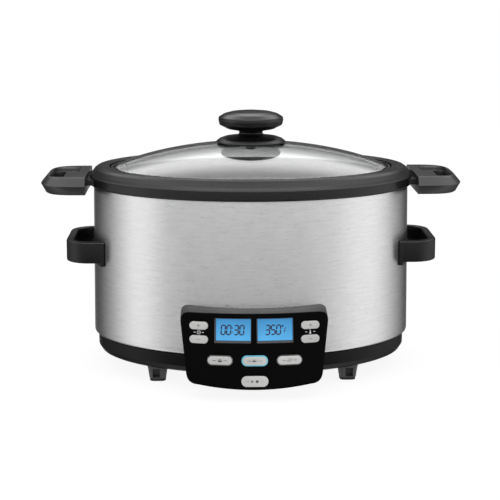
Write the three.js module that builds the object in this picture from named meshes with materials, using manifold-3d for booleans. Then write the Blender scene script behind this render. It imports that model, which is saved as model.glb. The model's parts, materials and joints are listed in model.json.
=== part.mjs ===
// Oval digital multi-cooker: steel housing on a black base pan, lift-out pot, glass lid, control panel.
// Millimetres, +Z up, front towards -Y. The pot's axis is the Z axis of the inner group.
import * as THREE from 'three'
import { mergeVertices } from 'three/addons/utils/BufferGeometryUtils.js'
import Module from 'manifold-3d'

const wasm = await Module()
wasm.setup()

// ---------------------------------------------------------------- driving dimensions
const OVAL_A = 158 // half length of the housing's oval
const OVAL_B = 118.5 // half depth of the housing's oval
const OVAL_STEPS = 40
const CORE_OFFSET = -60 // inside this ring the oval shrinks by scale instead of by offset

const PAN_FLOOR = 14
const SHELL_BOTTOM = 34
const SHELL_TOP = 183
const RIM_TOP = 187.7
const LIP_OUT = 3.6 // pot lip, outside the oval
const LIP_BOTTOM = 184
const LIP_TOP = 193.6
const SEAT_EDGE = -16 // inner edge of the pot's flange
const SEAT_EDGE_Z = 200.1
const FLANGE_TOP = 200.7 // the flange bulges up between lip and seat
const SEAT_Z = 196.4

const PLATE_TOP = 55
const PLATE_BOTTOM = 48.8
const WELL_FLOOR = 40
const POT_UNDERSIDE = 55.5

const LID_A = 139.6 // glass edge, half length
const LID_B = 100.4
const DOME_A = 137.5 // where the dome meets the flat glass edge
const DOME_RISE = 25.9
const GLASS_EDGE_TOP = 200.1
const GLASS_THICK = 4

const PANEL_TOP = 81.4
const PANEL_BOTTOM = 10.7
const PANEL_BULGE = 3.9 // how far the bottom edge rises from its middle to the corners
const PANEL_HALF_TOP = 70.3
const PANEL_HALF_BOTTOM = 62.7
const PANEL_RECLINE = THREE.MathUtils.degToRad(8)
const PANEL_RADIUS = 228 // convex face, seen from above
const PANEL_FRONT = OVAL_B + 22 // face's distance from the axis at its top edge
const FACE_THICK = 3
const HOUSING_WALL = 1.6
const CORNER_LIFT = 0.13 // how steeply the housing's top corners rise towards the shell
const BUTTON_PROUD = 1.3

const GAP = 0.3

// ---------------------------------------------------------------- materials
const finish = (color, roughness, metalness) =>
  new THREE.MeshStandardMaterial({ color, roughness, metalness })

const STEEL = finish(0xb4b5b6, 0.35, 1)
const PLATED = finish(0xc9cacc, 0.3, 1)
const CAST = finish(0x8d9093, 0.55, 1)
const BLACK = finish(0x1c1c1d, 0.5, 0)
const FLANGE = finish(0x3a3a3b, 0.45, 0.2)
const CHARCOAL = finish(0x4a4a4b, 0.5, 0)
const GREY = finish(0x48484a, 0.5, 0)
const GLOSS = finish(0x0b0b0c, 0.12, 0)
const SILVER = finish(0xb9bab9, 0.45, 0)
const DISPLAY = finish(0x2f8fd0, 0.3, 0)
const GLASS = finish(0xd8dcdc, 0.05, 0)
const RUBBER = finish(0x151515, 0.8, 0)
const WOOL = finish(0xd9d6cc, 0.95, 0)
const BOARD = finish(0x2b6b3a, 0.6, 0)

// ---------------------------------------------------------------- shape helpers
const v2 = (points) => points.map(([x, y]) => new THREE.Vector2(x, y))

// A profile of [radius, z] turned round the Z axis. One that leaves the axis out closes on itself.
function turned(profile, steps = 24) {
  const points = v2(profile)
  if (points[0].x > 0) points.push(points[0].clone())
  if (THREE.ShapeUtils.isClockWise(points)) points.reverse()
  return new THREE.LatheGeometry(points, steps).rotateX(Math.PI / 2)
}

// A point on the oval at a given angle, moved out by a parallel offset.
function ovalPoint(angle, offset) {
  const normal = new THREE.Vector2(OVAL_B * Math.cos(angle), OVAL_A * Math.sin(angle)).normalize()
  const x = OVAL_A * Math.cos(angle) + offset * normal.x
  const y = OVAL_B * Math.sin(angle) + offset * normal.y
  return [x, y]
}

// A profile of [offset from the oval, z] turned round the oval. CENTRE stands for the axis.
const CENTRE = -Infinity
const NOMINAL = 100
function oval(profile) {
  const coreRadius = NOMINAL + CORE_OFFSET
  const points = profile.map(([offset, z]) => [offset === CENTRE ? 0 : NOMINAL + offset, z])
  const geometry = turned(points, OVAL_STEPS)
  const position = geometry.attributes.position
  for (let i = 0; i < position.count; i++) {
    const radius = Math.hypot(position.getX(i), position.getY(i))
    const step = Math.round((Math.atan2(position.getY(i), position.getX(i)) / (2 * Math.PI)) * OVAL_STEPS)
    const angle = (step / OVAL_STEPS) * 2 * Math.PI
    const [x, y] = ovalPoint(angle, Math.max(radius - NOMINAL, CORE_OFFSET))
    const shrink = Math.min(radius / coreRadius, 1)
    position.setXY(i, x * shrink, y * shrink)
  }
  return geometry
}

// The lid is a circle's turning scaled to the lid's oval: radii are along the long axis.
function lidTurned(profile) {
  return turned(profile, OVAL_STEPS).scale(1, LID_B / LID_A, 1)
}

function solid(geometry) {
  const bare = geometry.clone()
  bare.deleteAttribute('normal')
  bare.deleteAttribute('uv')
  const merged = mergeVertices(bare, 1e-4)
  return new wasm.Manifold(new wasm.Mesh({
    numProp: 3,
    vertProperties: new Float32Array(merged.attributes.position.array),
    triVerts: new Uint32Array(merged.index.array),
  }))
}

function geometryOf(manifold) {
  const mesh = manifold.getMesh()
  const geometry = new THREE.BufferGeometry()
  geometry.setAttribute('position', new THREE.BufferAttribute(mesh.vertProperties, 3))
  geometry.setIndex(new THREE.BufferAttribute(mesh.triVerts, 1))
  return geometry
}

const cut = (body, ...tools) =>
  geometryOf(tools.reduce((left, tool) => left.subtract(solid(tool)), solid(body)))
const join = (body, ...others) =>
  geometryOf(others.reduce((whole, other) => whole.add(solid(other)), solid(body)))
const common = (body, other) => geometryOf(solid(body).intersect(solid(other)))

// A box given by its lowest and highest corners.
function block(x0, x1, y0, y1, z0, z1) {
  return new THREE.BoxGeometry(x1 - x0, y1 - y0, z1 - z0)
    .translate((x0 + x1) / 2, (y0 + y1) / 2, (z0 + z1) / 2)
}

// A flat outline in X and Y, raised from z0 to z1.
function raised(shape, z0, z1, curveSegments = 6) {
  return new THREE.ExtrudeGeometry(shape, { depth: z1 - z0, bevelEnabled: false, curveSegments })
    .translate(0, 0, z0)
}

// An upright cylinder; along('x') or along('y') lays it down.
function rod(radius, z0, z1, sides = 20) {
  return new THREE.CylinderGeometry(radius, radius, z1 - z0, sides)
    .rotateX(Math.PI / 2)
    .translate(0, 0, (z0 + z1) / 2)
}

function roundedBox(width, height, radius) {
  const shape = new THREE.Shape()
  const x = width / 2
  const y = height / 2
  shape.moveTo(x - radius, -y)
  shape.absarc(x - radius, radius - y, radius, -Math.PI / 2, 0)
  shape.absarc(x - radius, y - radius, radius, 0, Math.PI / 2)
  shape.absarc(radius - x, y - radius, radius, Math.PI / 2, Math.PI)
  shape.absarc(radius - x, radius - y, radius, Math.PI, Math.PI * 1.5)
  return shape
}

// ---------------------------------------------------------------- assembly
const cooker = new THREE.Group()
const group = new THREE.Group()
group.add(cooker)

function add(name, geometry, material, matrix) {
  const mesh = new THREE.Mesh(geometry, material)
  mesh.name = name
  if (matrix) mesh.applyMatrix4(matrix)
  cooker.add(mesh)
  return mesh
}

// ---------------------------------------------------------------- housing
const HANDLE_Z = 121 // middle of the base handles
const HANDLE_HALF = 10.6
const HANDLE_ARM_Y = 44.5
const HANDLE_OUT = 184.3
const HANDLE_BAR = 7.5
const SCREW_SHANK = 2
const SCREW_HOLE = SCREW_SHANK + GAP + 0.1
const GLAND_Z = 27.3
const GLAND_HOLE = 4.4
const SIDES = [['left', -1], ['right', 1]]
const ENDS = [['front', -1], ['rear', 1]]

// Frame of a base handle screw: its local Z points out along the arm, from the shell's surface.
function handleScrewFrame(side, end) {
  const [x] = ovalPoint(Math.asin(HANDLE_ARM_Y / OVAL_B), 0)
  return new THREE.Matrix4()
    .makeRotationY(side * Math.PI / 2)
    .setPosition(side * x, end * HANDLE_ARM_Y, HANDLE_Z)
}

function housingShell() {
  const shell = oval([
    [0, SHELL_TOP], [-1.2, SHELL_TOP], [-0.8, 130], [-0.4, 70], [-0.2, 44],
    [-0.4, 40.4], [-1.1, 37.2], [-2.5, SHELL_BOTTOM + 1.4], [-2.5, SHELL_BOTTOM],
    [-0.4, SHELL_BOTTOM + 1.6], [0.7, 39.4], [1, 44], [0.8, 70], [0.4, 130],
  ])
  const holes = SIDES.flatMap(([, side]) => ENDS.map(([, end]) =>
    rod(SCREW_HOLE, -12, 12, 12).applyMatrix4(handleScrewFrame(side, end))))
  return cut(shell, ...holes)
}

const PAN_OUTSIDE = [[-2.8, 33.4], [-3, 21.5], [-6, 16.5], [-10, 14.5], [-30, PAN_FLOOR]]

function basePan() {
  const pan = oval([
    [CENTRE, PAN_FLOOR + 3], [-30, PAN_FLOOR + 3], [-10.5, 17.5], [-7.8, 19.5], [-6, 24], [-6.6, 42],
    [-4.4, 42], [-4.4, 33.4], ...PAN_OUTSIDE, [CENTRE, PAN_FLOOR],
  ])
  return cut(pan, rod(GLAND_HOLE, 100, 125, 16).rotateX(-Math.PI / 2).translate(0, 0, GLAND_Z))
}

function cordGland() {
  const wallOut = OVAL_B - 2.4
  const wallIn = OVAL_B - 7.8
  const flange = 6
  const neck = GLAND_HOLE - GAP
  return turned([
    [3, wallIn - 3], [flange, wallIn - 3], [flange, wallIn], [neck, wallIn], [neck, wallOut],
    [flange, wallOut], [flange - 0.6, wallOut + 2.4], [3, wallOut + 3],
  ], 20).rotateX(-Math.PI / 2).translate(0, 0, GLAND_Z)
}

function housingRim() {
  return oval([
    [-21, 183.3], [-3.6, 183.3], [-3.6, 176], [-1.6, 176], [-1.6, 183.3], [0, 183.4], [0, RIM_TOP],
    [-21, RIM_TOP],
  ])
}

add('housing_shell', housingShell(), STEEL)
add('base_pan', basePan(), BLACK)
add('cord_gland', cordGland(), RUBBER)
add('housing_rim', housingRim(), BLACK)

// ---------------------------------------------------------------- feet
const FOOT_X = 92.7
const FOOT_FRONT = 82
const FOOT_DEPTH = 17
const PAD_TOP = 2.6

function foot(side, end) {
  const taper = new THREE.Shape(v2([[-8, 0], [8, 0], [10.5, 17], [-10.5, 17]]))
  const leg = raised(taper, 0, FOOT_DEPTH)
    .rotateX(Math.PI / 2)
    .translate(side * FOOT_X, end === 1 ? FOOT_FRONT : FOOT_DEPTH - FOOT_FRONT, PAD_TOP + GAP)
  const face = end * FOOT_FRONT
  const slot = block(-3.3, 3.3, face - 2, face + 2, 3.9, 12.6).translate(side * (FOOT_X + 1.4), 0, 0)
  const clearance = oval([
    [CENTRE, 60], [-3, 60], ...PAN_OUTSIDE.map(([offset, z]) => [offset + GAP, z - GAP]),
    [CENTRE, PAN_FLOOR - GAP],
  ])
  return cut(leg, slot, clearance)
}

for (const [sideName, side] of SIDES) {
  for (const [endName, end] of ENDS) {
    add(`foot_${endName}_${sideName}`, foot(side, end), BLACK)
    const pad = raised(roundedBox(15.6, FOOT_DEPTH - 2, 4), 0, PAD_TOP, 2)
    pad.translate(side * FOOT_X, end * (FOOT_FRONT - FOOT_DEPTH / 2), 0)
    add(`foot_pad_${endName}_${sideName}`, pad, RUBBER)
  }
}

// ---------------------------------------------------------------- base handles
// Plan of the U loop, open towards the housing; its arms run into the plate on the shell.
function loopPlan() {
  const arm = HANDLE_ARM_Y + HANDLE_BAR / 2
  const corner = 24
  const plan = new THREE.Shape()
  plan.moveTo(148, -arm)
  plan.absarc(HANDLE_OUT - corner, corner - arm, corner, -Math.PI / 2, 0)
  plan.absarc(HANDLE_OUT - corner, arm - corner, corner, 0, Math.PI / 2)
  plan.lineTo(148, arm)
  plan.lineTo(148, arm - HANDLE_BAR)
  plan.absarc(HANDLE_OUT - corner, arm - corner, corner - HANDLE_BAR, Math.PI / 2, 0, true)
  plan.absarc(HANDLE_OUT - corner, corner - arm, corner - HANDLE_BAR, 0, -Math.PI / 2, true)
  plan.lineTo(148, HANDLE_BAR - arm)
  return plan
}

// The handle's plate lies on the shell between its two arms.
function handlePlate() {
  const band = oval([
    [1.1, HANDLE_Z - 14], [5, HANDLE_Z - 14], [4.2, HANDLE_Z + 11], [1.1, HANDLE_Z + 11],
  ])
  return common(band, block(100, 200, -HANDLE_ARM_Y - 6.5, HANDLE_ARM_Y + 6.5, 60, 170))
}

function baseHandle(side) {
  const clearance = oval([[CENTRE, 60], [1.1, 60], [1.1, 170], [CENTRE, 170]])
  const bar = cut(raised(loopPlan(), HANDLE_Z - HANDLE_HALF, HANDLE_Z + HANDLE_HALF, 4), clearance)
  const handle = join(bar, handlePlate())
  const holes = ENDS.map(([, end]) => rod(SCREW_HOLE, -6, 15, 12).applyMatrix4(handleScrewFrame(1, end)))
  const whole = cut(handle, ...holes)
  return side === 1 ? whole : whole.rotateZ(Math.PI)
}

// Pan head inside the shell, shank out into the arm.
const screw = (head, shank, length) => turned([
  [0, -3], [head * 0.7, -3], [head, -2.2], [head, 0], [shank, 0], [shank, length], [0, length],
], 12)

for (const [sideName, side] of SIDES) {
  add(`base_handle_${sideName}`, baseHandle(side), BLACK)
  for (const [endName, end] of ENDS) {
    const placed = handleScrewFrame(side, end).multiply(new THREE.Matrix4().makeTranslation(0, 0, -3.5))
    add(`handle_screw_${endName}_${sideName}`, screw(4, SCREW_SHANK, 16), PLATED, placed)
  }
}

// ---------------------------------------------------------------- heating
const SENSOR_HOLE = 14

function heatingWell() {
  const well = oval([
    [CENTRE, WELL_FLOOR + 1.2], [-36, WELL_FLOOR + 1.2], [-28, 44], [-24.4, 52], [-24, 70],
    [-24, 182.9], [-12, 182.9], [-12, 181.8], [-22.8, 181.8], [-22.8, 70], [-23.2, 52], [-27, 43],
    [-35.6, WELL_FLOOR], [CENTRE, WELL_FLOOR],
  ])
  return cut(well, rod(SENSOR_HOLE + 2, 30, 60))
}

function heatingPlate() {
  const plate = oval([
    [CENTRE, PLATE_BOTTOM], [-36, PLATE_BOTTOM], [-34, PLATE_BOTTOM + 1.6], [-34, PLATE_TOP - 1],
    [-35, PLATE_TOP], [CENTRE, PLATE_TOP],
  ])
  return cut(plate, rod(SENSOR_HOLE, 30, 70))
}

// A tube ring under the plate.
function heatingElement() {
  const ring = []
  const tubeRadius = 3.2
  const sides = 6
  for (let i = 0; i < sides; i++) {
    const angle = (i / sides) * 2 * Math.PI
    ring.push([-52 + tubeRadius * Math.cos(angle), PLATE_BOTTOM - 3.6 + tubeRadius * Math.sin(angle)])
  }
  return oval(ring)
}

add('heating_well', heatingWell(), PLATED)
add('insulation_band', oval([[-20.5, 60], [-12, 60], [-12, 168], [-20.5, 168]]), WOOL)
add('heating_plate', heatingPlate(), CAST)
add('heating_element', heatingElement(), CAST)
add('thermal_fuse', rod(3, -11, 11, 12).rotateY(Math.PI / 2).translate(48, 14, WELL_FLOOR - 3.6), PLATED)

// ---------------------------------------------------------------- temperature sensor
const STEM = 3.4
const GUIDE_TOP = 36
const CAP_BOTTOM = 50.6

add('sensor_cap', turned([
  [0, 24], [STEM, 24], [STEM, CAP_BOTTOM], [12.4, CAP_BOTTOM], [12.8, CAP_BOTTOM + 1],
  [12.8, PLATE_TOP - 0.8], [12, PLATE_TOP + 0.2], [0, PLATE_TOP + 0.2],
], 24), PLATED)
add('sensor_guide', turned([
  [STEM + GAP, PAN_FLOOR + 3 + GAP], [13, PAN_FLOOR + 3 + GAP], [13, PAN_FLOOR + 5.5], [6.4, PAN_FLOOR + 7],
  [6.4, GUIDE_TOP], [STEM + GAP, GUIDE_TOP],
], 24), BLACK)

class Helix extends THREE.Curve {
  constructor(radius, z0, z1, turns) {
    super()
    Object.assign(this, { radius, z0, z1, turns })
  }

  getPoint(t, target = new THREE.Vector3()) {
    const angle = t * this.turns * 2 * Math.PI
    const z = THREE.MathUtils.lerp(this.z0, this.z1, t)
    return target.set(this.radius * Math.cos(angle), this.radius * Math.sin(angle), z)
  }
}

function sensorSpring() {
  const wire = 0.6
  const section = new THREE.Shape().absarc(0, 0, wire, 0, 2 * Math.PI)
  const path = new Helix(5.4, GUIDE_TOP + wire + GAP, CAP_BOTTOM - wire - GAP, 5)
  return new THREE.ExtrudeGeometry(section, { extrudePath: path, steps: 45, curveSegments: 2 })
}
add('sensor_spring', sensorSpring(), STEEL)

// ---------------------------------------------------------------- electronics
const BOARD_Z = 22
add('power_board', raised(roundedBox(96, 62, 3), BOARD_Z, BOARD_Z + 1.6, 2).translate(-68, 0, 0), BOARD)
add('relay', block(-106, -86, -24, -8, BOARD_Z + 1.9, BOARD_Z + 16), BLACK)
add('transformer', block(-78, -50, -10, 16, BOARD_Z + 1.9, BOARD_Z + 15.6), CAST)

// ---------------------------------------------------------------- control panel
// The face is part of a drum, leaning back: a place on it is (x, z), and depth goes into the housing.
function faceY(x, z) {
  const lean = (PANEL_TOP - z) * Math.tan(PANEL_RECLINE)
  return PANEL_RADIUS - Math.sqrt(PANEL_RADIUS ** 2 - x ** 2) - PANEL_FRONT - lean
}

// Frame on the face: local X to the right, local Y up the face, local Z out towards the user.
function faceFrame(x, z, depth = 0) {
  const slope = x / Math.sqrt(PANEL_RADIUS ** 2 - x ** 2)
  const out = new THREE.Vector3(slope, -1, Math.tan(PANEL_RECLINE)).normalize()
  const right = new THREE.Vector3(0, 0, 1).negate().cross(out).normalize()
  const up = out.clone().cross(right)
  return new THREE.Matrix4()
    .makeBasis(right, up, out)
    .setPosition(x - out.x * depth, faceY(x, z) - out.y * depth, z - out.z * depth)
}

// A curved slab between two sheets y = front(x, z) and y = back(x, z), wider than the panel.
function slab(front, back) {
  const columns = 8
  const rows = 1
  const reach = 76
  const geometry = new THREE.BoxGeometry(1, 1, 1, columns, 1, rows)
  const position = geometry.attributes.position
  for (let i = 0; i < position.count; i++) {
    const x = position.getX(i) * 2 * reach
    const z = THREE.MathUtils.lerp(0, 95, position.getZ(i) + 0.5)
    position.setXYZ(i, x, position.getY(i) < 0 ? front(x, z) : back(x, z), z)
  }
  return geometry
}

// The panel's outline seen from the front: tapering sides, round corners, a bulging bottom edge.
function panelOutline(inset) {
  const top = PANEL_TOP - inset
  const bottom = PANEL_BOTTOM + inset
  const halfAt = (z) => THREE.MathUtils.mapLinear(
    z, PANEL_BOTTOM, PANEL_TOP, PANEL_HALF_BOTTOM, PANEL_HALF_TOP) - inset
  const radius = 10 - inset
  const corner = bottom + PANEL_BULGE
  const outline = new THREE.Shape()
  outline.moveTo(halfAt(top) - radius, top)
  outline.lineTo(radius - halfAt(top), top)
  outline.quadraticCurveTo(-halfAt(top), top, -halfAt(top - radius), top - radius)
  outline.lineTo(-halfAt(corner + radius), corner + radius)
  outline.quadraticCurveTo(-halfAt(corner), corner, radius - halfAt(corner), corner)
  outline.quadraticCurveTo(0, bottom - PANEL_BULGE, halfAt(corner) - radius, corner)
  outline.quadraticCurveTo(halfAt(corner), corner, halfAt(corner + radius), corner + radius)
  outline.lineTo(halfAt(top - radius), top - radius)
  outline.quadraticCurveTo(halfAt(top), top, halfAt(top) - radius, top)
  return outline
}

// The outline as a prism along Y.
const panelPrism = (inset) =>
  raised(panelOutline(inset), -200, -80, 5).applyMatrix4(new THREE.Matrix4().makeBasis(
    new THREE.Vector3(1, 0, 0), new THREE.Vector3(0, 0, 1), new THREE.Vector3(0, -1, 0),
  )).applyMatrix4(new THREE.Matrix4().makeTranslation(0, -280, 0))

const PILL_ARC = 2
const pill = (width, height) => roundedBox(width, height, height / 2 - 0.01)

const BUTTONS = [
  ['button_time_up', -52, 69.4, 17.6, 7.4],
  ['button_time_down', -52, 56.7, 17.6, 7.4],
  ['button_temp_up', 52, 69.4, 17.6, 7.4],
  ['button_temp_down', 52, 56.7, 17.6, 7.4],
  ['button_slow_cook', -32.4, 37.9, 24.4, 9.6],
  ['button_brown', 0, 37.8, 24.4, 9.6],
  ['button_steam', 32.4, 37.9, 24.4, 9.6],
  ['button_start_stop', 0, 18.9, 25.2, 10],
]
const WINDOW_X = 19.7
const WINDOW_Z = 65.4
const WINDOW_WIDTH = 33.2
const WINDOW_HEIGHT = 23.4

function panelFace() {
  const plate = common(slab((x, z) => faceY(x, z), (x, z) => faceY(x, z) + FACE_THICK), panelPrism(0))
  const holes = BUTTONS.map(([, x, z, width, height]) =>
    raised(pill(width + 2 * GAP, height + 2 * GAP), -9, 4, PILL_ARC).applyMatrix4(faceFrame(x, z)))
  for (const [, side] of SIDES) {
    holes.push(raised(roundedBox(WINDOW_WIDTH, WINDOW_HEIGHT, 1), -9, 4, 2)
      .applyMatrix4(faceFrame(side * WINDOW_X, WINDOW_Z)))
  }
  return cut(plate, ...holes)
}

// An open frame between the face and the housing.
function panelHousing() {
  const bodyY = (x) => -(OVAL_B + 1.4) * Math.sqrt(1 - (x / (OVAL_A + 1.4)) ** 2)
  const frontY = (x, z) => faceY(x, z) + FACE_THICK + GAP
  const wedge = common(slab(frontY, (x) => bodyY(x)), panelPrism(0))
  const housing = cut(wedge, panelPrism(HOUSING_WALL))
  const position = housing.attributes.position
  for (let i = 0; i < position.count; i++) {
    const [x, y, z] = [position.getX(i), position.getY(i), position.getZ(i)]
    const depth = Math.max(0, y - frontY(x, z))
    const share = (z - PANEL_BOTTOM) / (PANEL_TOP - PANEL_BOTTOM)
    position.setZ(i, z + CORNER_LIFT * (x / PANEL_HALF_TOP) ** 2 * depth * share)
  }
  return housing
}

function button(width, height) {
  const key = raised(pill(width, height), -4.2, BUTTON_PROUD, PILL_ARC)
  const flange = raised(pill(width + 1.4, height + 1), -5.3, -FACE_THICK - 0.9, PILL_ARC)
  return join(key, flange)
}

add('panel_housing', panelHousing(), GREY)
add('panel_face', panelFace(), GLOSS)
for (const [name, x, z, width, height] of BUTTONS) {
  add(name, button(width, height), SILVER, faceFrame(x, z))
}
for (const [sideName, side] of SIDES) {
  const place = faceFrame(side * WINDOW_X, WINDOW_Z)
  const opening = raised(roundedBox(WINDOW_WIDTH - 3, WINDOW_HEIGHT - 3, 0.6), -9, 4, 2)
  const frame = raised(roundedBox(WINDOW_WIDTH - 2 * GAP, WINDOW_HEIGHT - 2 * GAP, 0.8), -4, -0.2, 2)
  add(`display_frame_${sideName}`, cut(frame, opening), GREY, place)
  const glass = raised(roundedBox(WINDOW_WIDTH, WINDOW_HEIGHT, 0.8), -7, -4.3, 2)
  add(`display_${sideName}`, glass, DISPLAY, place)
}
add('control_board', raised(roundedBox(108, 56, 3), -15, -13.4, 2), BOARD, faceFrame(0, 47))

// ---------------------------------------------------------------- pot
function cookingPot() {
  return oval([
    [CENTRE, POT_UNDERSIDE], [-40, POT_UNDERSIDE], [-31.5, 57.4], [-27.6, 64], [-26.6, 76],
    [-26, 184], [-24, RIM_TOP + 0.5], [LIP_OUT - 3, RIM_TOP + 0.5], [LIP_OUT - 2.8, LIP_BOTTOM],
    [LIP_OUT - 0.6, LIP_BOTTOM], [LIP_OUT, LIP_BOTTOM + 1], [LIP_OUT, LIP_TOP - 1.2],
    [LIP_OUT - 1, LIP_TOP], [1.4, 196.8], [-3.4, FLANGE_TOP - 0.8], [-9.6, FLANGE_TOP],
    [SEAT_EDGE - 0.2, SEAT_EDGE_Z - 0.1], [SEAT_EDGE - 0.6, SEAT_Z],
    [-23, SEAT_Z - 0.4], [-27, 193.4], [-29, 188], [-29.6, 76], [-30.8, 66], [-34, 61], [-41, 59],
    [CENTRE, 59],
  ])
}

// The grip in plan is half a superellipse, drawn at a given inset from its widest outline.
const GRIP_ROOT = 165
const GRIP_SLOT_X = 193.5
const GRIP_REACH = 44.2
const GRIP_HALF = 52
const GRIP_POWER = 3.6
const GRIP_LEVELS = [[178.2, 6], [179.4, 4.2], [187.5, 0], [193.9, 5.4], [195.3, 7]]
const BRACKET_HALF = 34
const BRACKET_TOP = 191.4
const BRACKET_BOTTOM = 186

function gripPlan(inset, steps) {
  const plan = [[GRIP_ROOT - 1.6, inset - GRIP_HALF]]
  for (let i = 0; i <= steps; i++) {
    const angle = THREE.MathUtils.lerp(-Math.PI / 2, Math.PI / 2, i / steps)
    const cosine = Math.cos(angle)
    const sine = Math.sin(angle)
    const x = GRIP_ROOT + (GRIP_REACH - inset) * Math.abs(cosine) ** (2 / GRIP_POWER)
    const y = (GRIP_HALF - inset) * Math.sign(sine) * Math.abs(sine) ** (2 / GRIP_POWER)
    plan.push([x, y])
  }
  plan.push([GRIP_ROOT - 1.6, GRIP_HALF - inset])
  return plan
}

// A solid through a stack of outlines that have the same number of points.
function stack(levels, planAt) {
  const rings = levels.map(([z, inset]) => planAt(inset).map(([x, y]) => [x, y, z]))
  const count = rings[0].length
  const vertices = rings.flat(2)
  const faces = []
  rings.slice(1).forEach((ring, level) => {
    for (let i = 0; i < count; i++) {
      const low = level * count + i
      const next = level * count + (i + 1) % count
      faces.push(low, next, next + count, low, next + count, low + count)
    }
  })
  const cap = THREE.ShapeUtils.triangulateShape(v2(rings[0]), [])
  const last = (rings.length - 1) * count
  cap.forEach(([a, b, c]) => faces.push(a, c, b, a + last, b + last, c + last))
  const geometry = new THREE.BufferGeometry()
  geometry.setAttribute('position', new THREE.Float32BufferAttribute(vertices, 3))
  geometry.setIndex(faces)
  return geometry
}

const GRIP_SCREW_X = 170
const GRIP_SCREW_Y = 24

function bracketPlan(spare) {
  const inner = []
  const steps = 10
  const half = BRACKET_HALF + spare
  for (let i = 0; i <= steps; i++) {
    const y = THREE.MathUtils.lerp(half, -half, i / steps)
    const [x] = ovalPoint(Math.asin(y / (OVAL_B + LIP_OUT)), LIP_OUT + 0.5)
    inner.push([x, y])
  }
  return new THREE.Shape(v2([[175 + spare, -half], [175 + spare, half], ...inner]))
}

// Upright holes at the two screw places of a grip.
const gripScrewHoles = (radius, z0, z1) =>
  ENDS.map(([, end]) => rod(radius, z0, z1, 12).translate(GRIP_SCREW_X, end * GRIP_SCREW_Y, 0))

function potGrip(side) {
  const bulk = stack(GRIP_LEVELS, (inset) => gripPlan(inset, 20))
  const slot = raised(roundedBox(12, 50, 5), 170, 200, 3).translate(GRIP_SLOT_X, 0, 0)
  const pocket = raised(bracketPlan(GAP), BRACKET_BOTTOM - GAP, BRACKET_TOP + GAP)
  const shanks = gripScrewHoles(SCREW_HOLE, 170, 187)
  const heads = gripScrewHoles(4.6, 170, 183.5)
  const whole = cut(bulk, slot, pocket, ...shanks, ...heads)
  return side === 1 ? whole : whole.rotateZ(Math.PI)
}

function gripBracket(side) {
  const bar = raised(bracketPlan(0), BRACKET_BOTTOM, BRACKET_TOP)
  const whole = cut(bar, ...gripScrewHoles(SCREW_HOLE, 170, 190))
  return side === 1 ? whole : whole.rotateZ(Math.PI)
}

add('cooking_pot', cookingPot(), FLANGE)
for (const [sideName, side] of SIDES) {
  add(`grip_bracket_${sideName}`, gripBracket(side), CAST)
  add(`pot_grip_${sideName}`, potGrip(side), CHARCOAL)
  for (const [endName, end] of ENDS) {
    add(`grip_screw_${endName}_${sideName}`, screw(4, SCREW_SHANK, 5.6)
      .translate(side * GRIP_SCREW_X, end * GRIP_SCREW_Y, 183.2), PLATED)
  }
}

// ---------------------------------------------------------------- lid
function domeZ(radius) {
  const share = Math.min(radius / DOME_A, 1)
  return GLASS_EDGE_TOP + DOME_RISE * (1 - share ** 1.9) ** 0.8
}

const KNOB_HOLE = 4.5

function lidGlass() {
  const steps = 7
  const upper = []
  for (let i = 0; i <= steps; i++) {
    const radius = THREE.MathUtils.lerp(KNOB_HOLE, DOME_A, Math.sin((i / steps) * Math.PI / 2))
    upper.push([radius, domeZ(radius)])
  }
  const lower = upper.map(([radius, z]) => [radius, z - GLASS_THICK]).reverse()
  lower[0] = [DOME_A, GLASS_EDGE_TOP - 2.4]
  return lidTurned([...upper, [LID_A, GLASS_EDGE_TOP], [LID_A, GLASS_EDGE_TOP - 2.4], ...lower])
}

function lidRim() {
  const top = GLASS_EDGE_TOP + GAP
  const bottom = GLASS_EDGE_TOP - 2.4 - GAP
  const inner = DOME_A + 0.7
  return lidTurned([
    [LID_A + GAP, top], [inner, top], [inner, top + 0.6], [LID_A + 0.9, top + 0.6],
    [LID_A + 0.9, bottom - 0.6], [inner, bottom - 0.6], [inner, bottom], [LID_A + GAP, bottom],
  ])
}

const APEX = GLASS_EDGE_TOP + DOME_RISE
const BASE_DISC_TOP = 232.3

function knobBase() {
  return turned([
    [2.4, APEX + 0.4], [10, APEX + 0.4], [34.2, 224.9], [34.7, 225.6], [31.6, 228.6], [27, 230.3],
    [12, BASE_DISC_TOP], [2.4, BASE_DISC_TOP],
  ])
}

function knob() {
  return turned([
    [0, 248.2], [2.4, 248.2], [2.4, BASE_DISC_TOP + GAP], [12.8, BASE_DISC_TOP + GAP], [11.7, 234.2],
    [12, 235.6], [14.2, 236.8], [23.8, 238.7], [31.7, 242.8], [32.6, 247.7], [32.3, 250.3],
    [27, 253.6], [20, 255.5], [10, 256.6], [0, 256.8],
  ])
}

add('lid_glass', lidGlass(), GLASS)
add('lid_rim', lidRim(), PLATED)
add('knob_base', knobBase(), BLACK)
add('knob', knob(), BLACK)
add('knob_washer', turned([[2.4, 219.9], [9, 219.9], [9, 221], [2.4, 221]], 20), PLATED)
add('knob_screw', screw(5, SCREW_SHANK, 27).translate(0, 0, 219.6), PLATED)

// The origin is under the middle of the whole object's box.
const bounds = new THREE.Box3().setFromObject(cooker)
cooker.position.y = -(bounds.min.y + bounds.max.y) / 2

export default group
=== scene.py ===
"""Looks of the oval multi-cooker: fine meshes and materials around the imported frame."""
import functools
import json
import math

import bmesh
import bpy
from mathutils import Matrix, Vector


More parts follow.
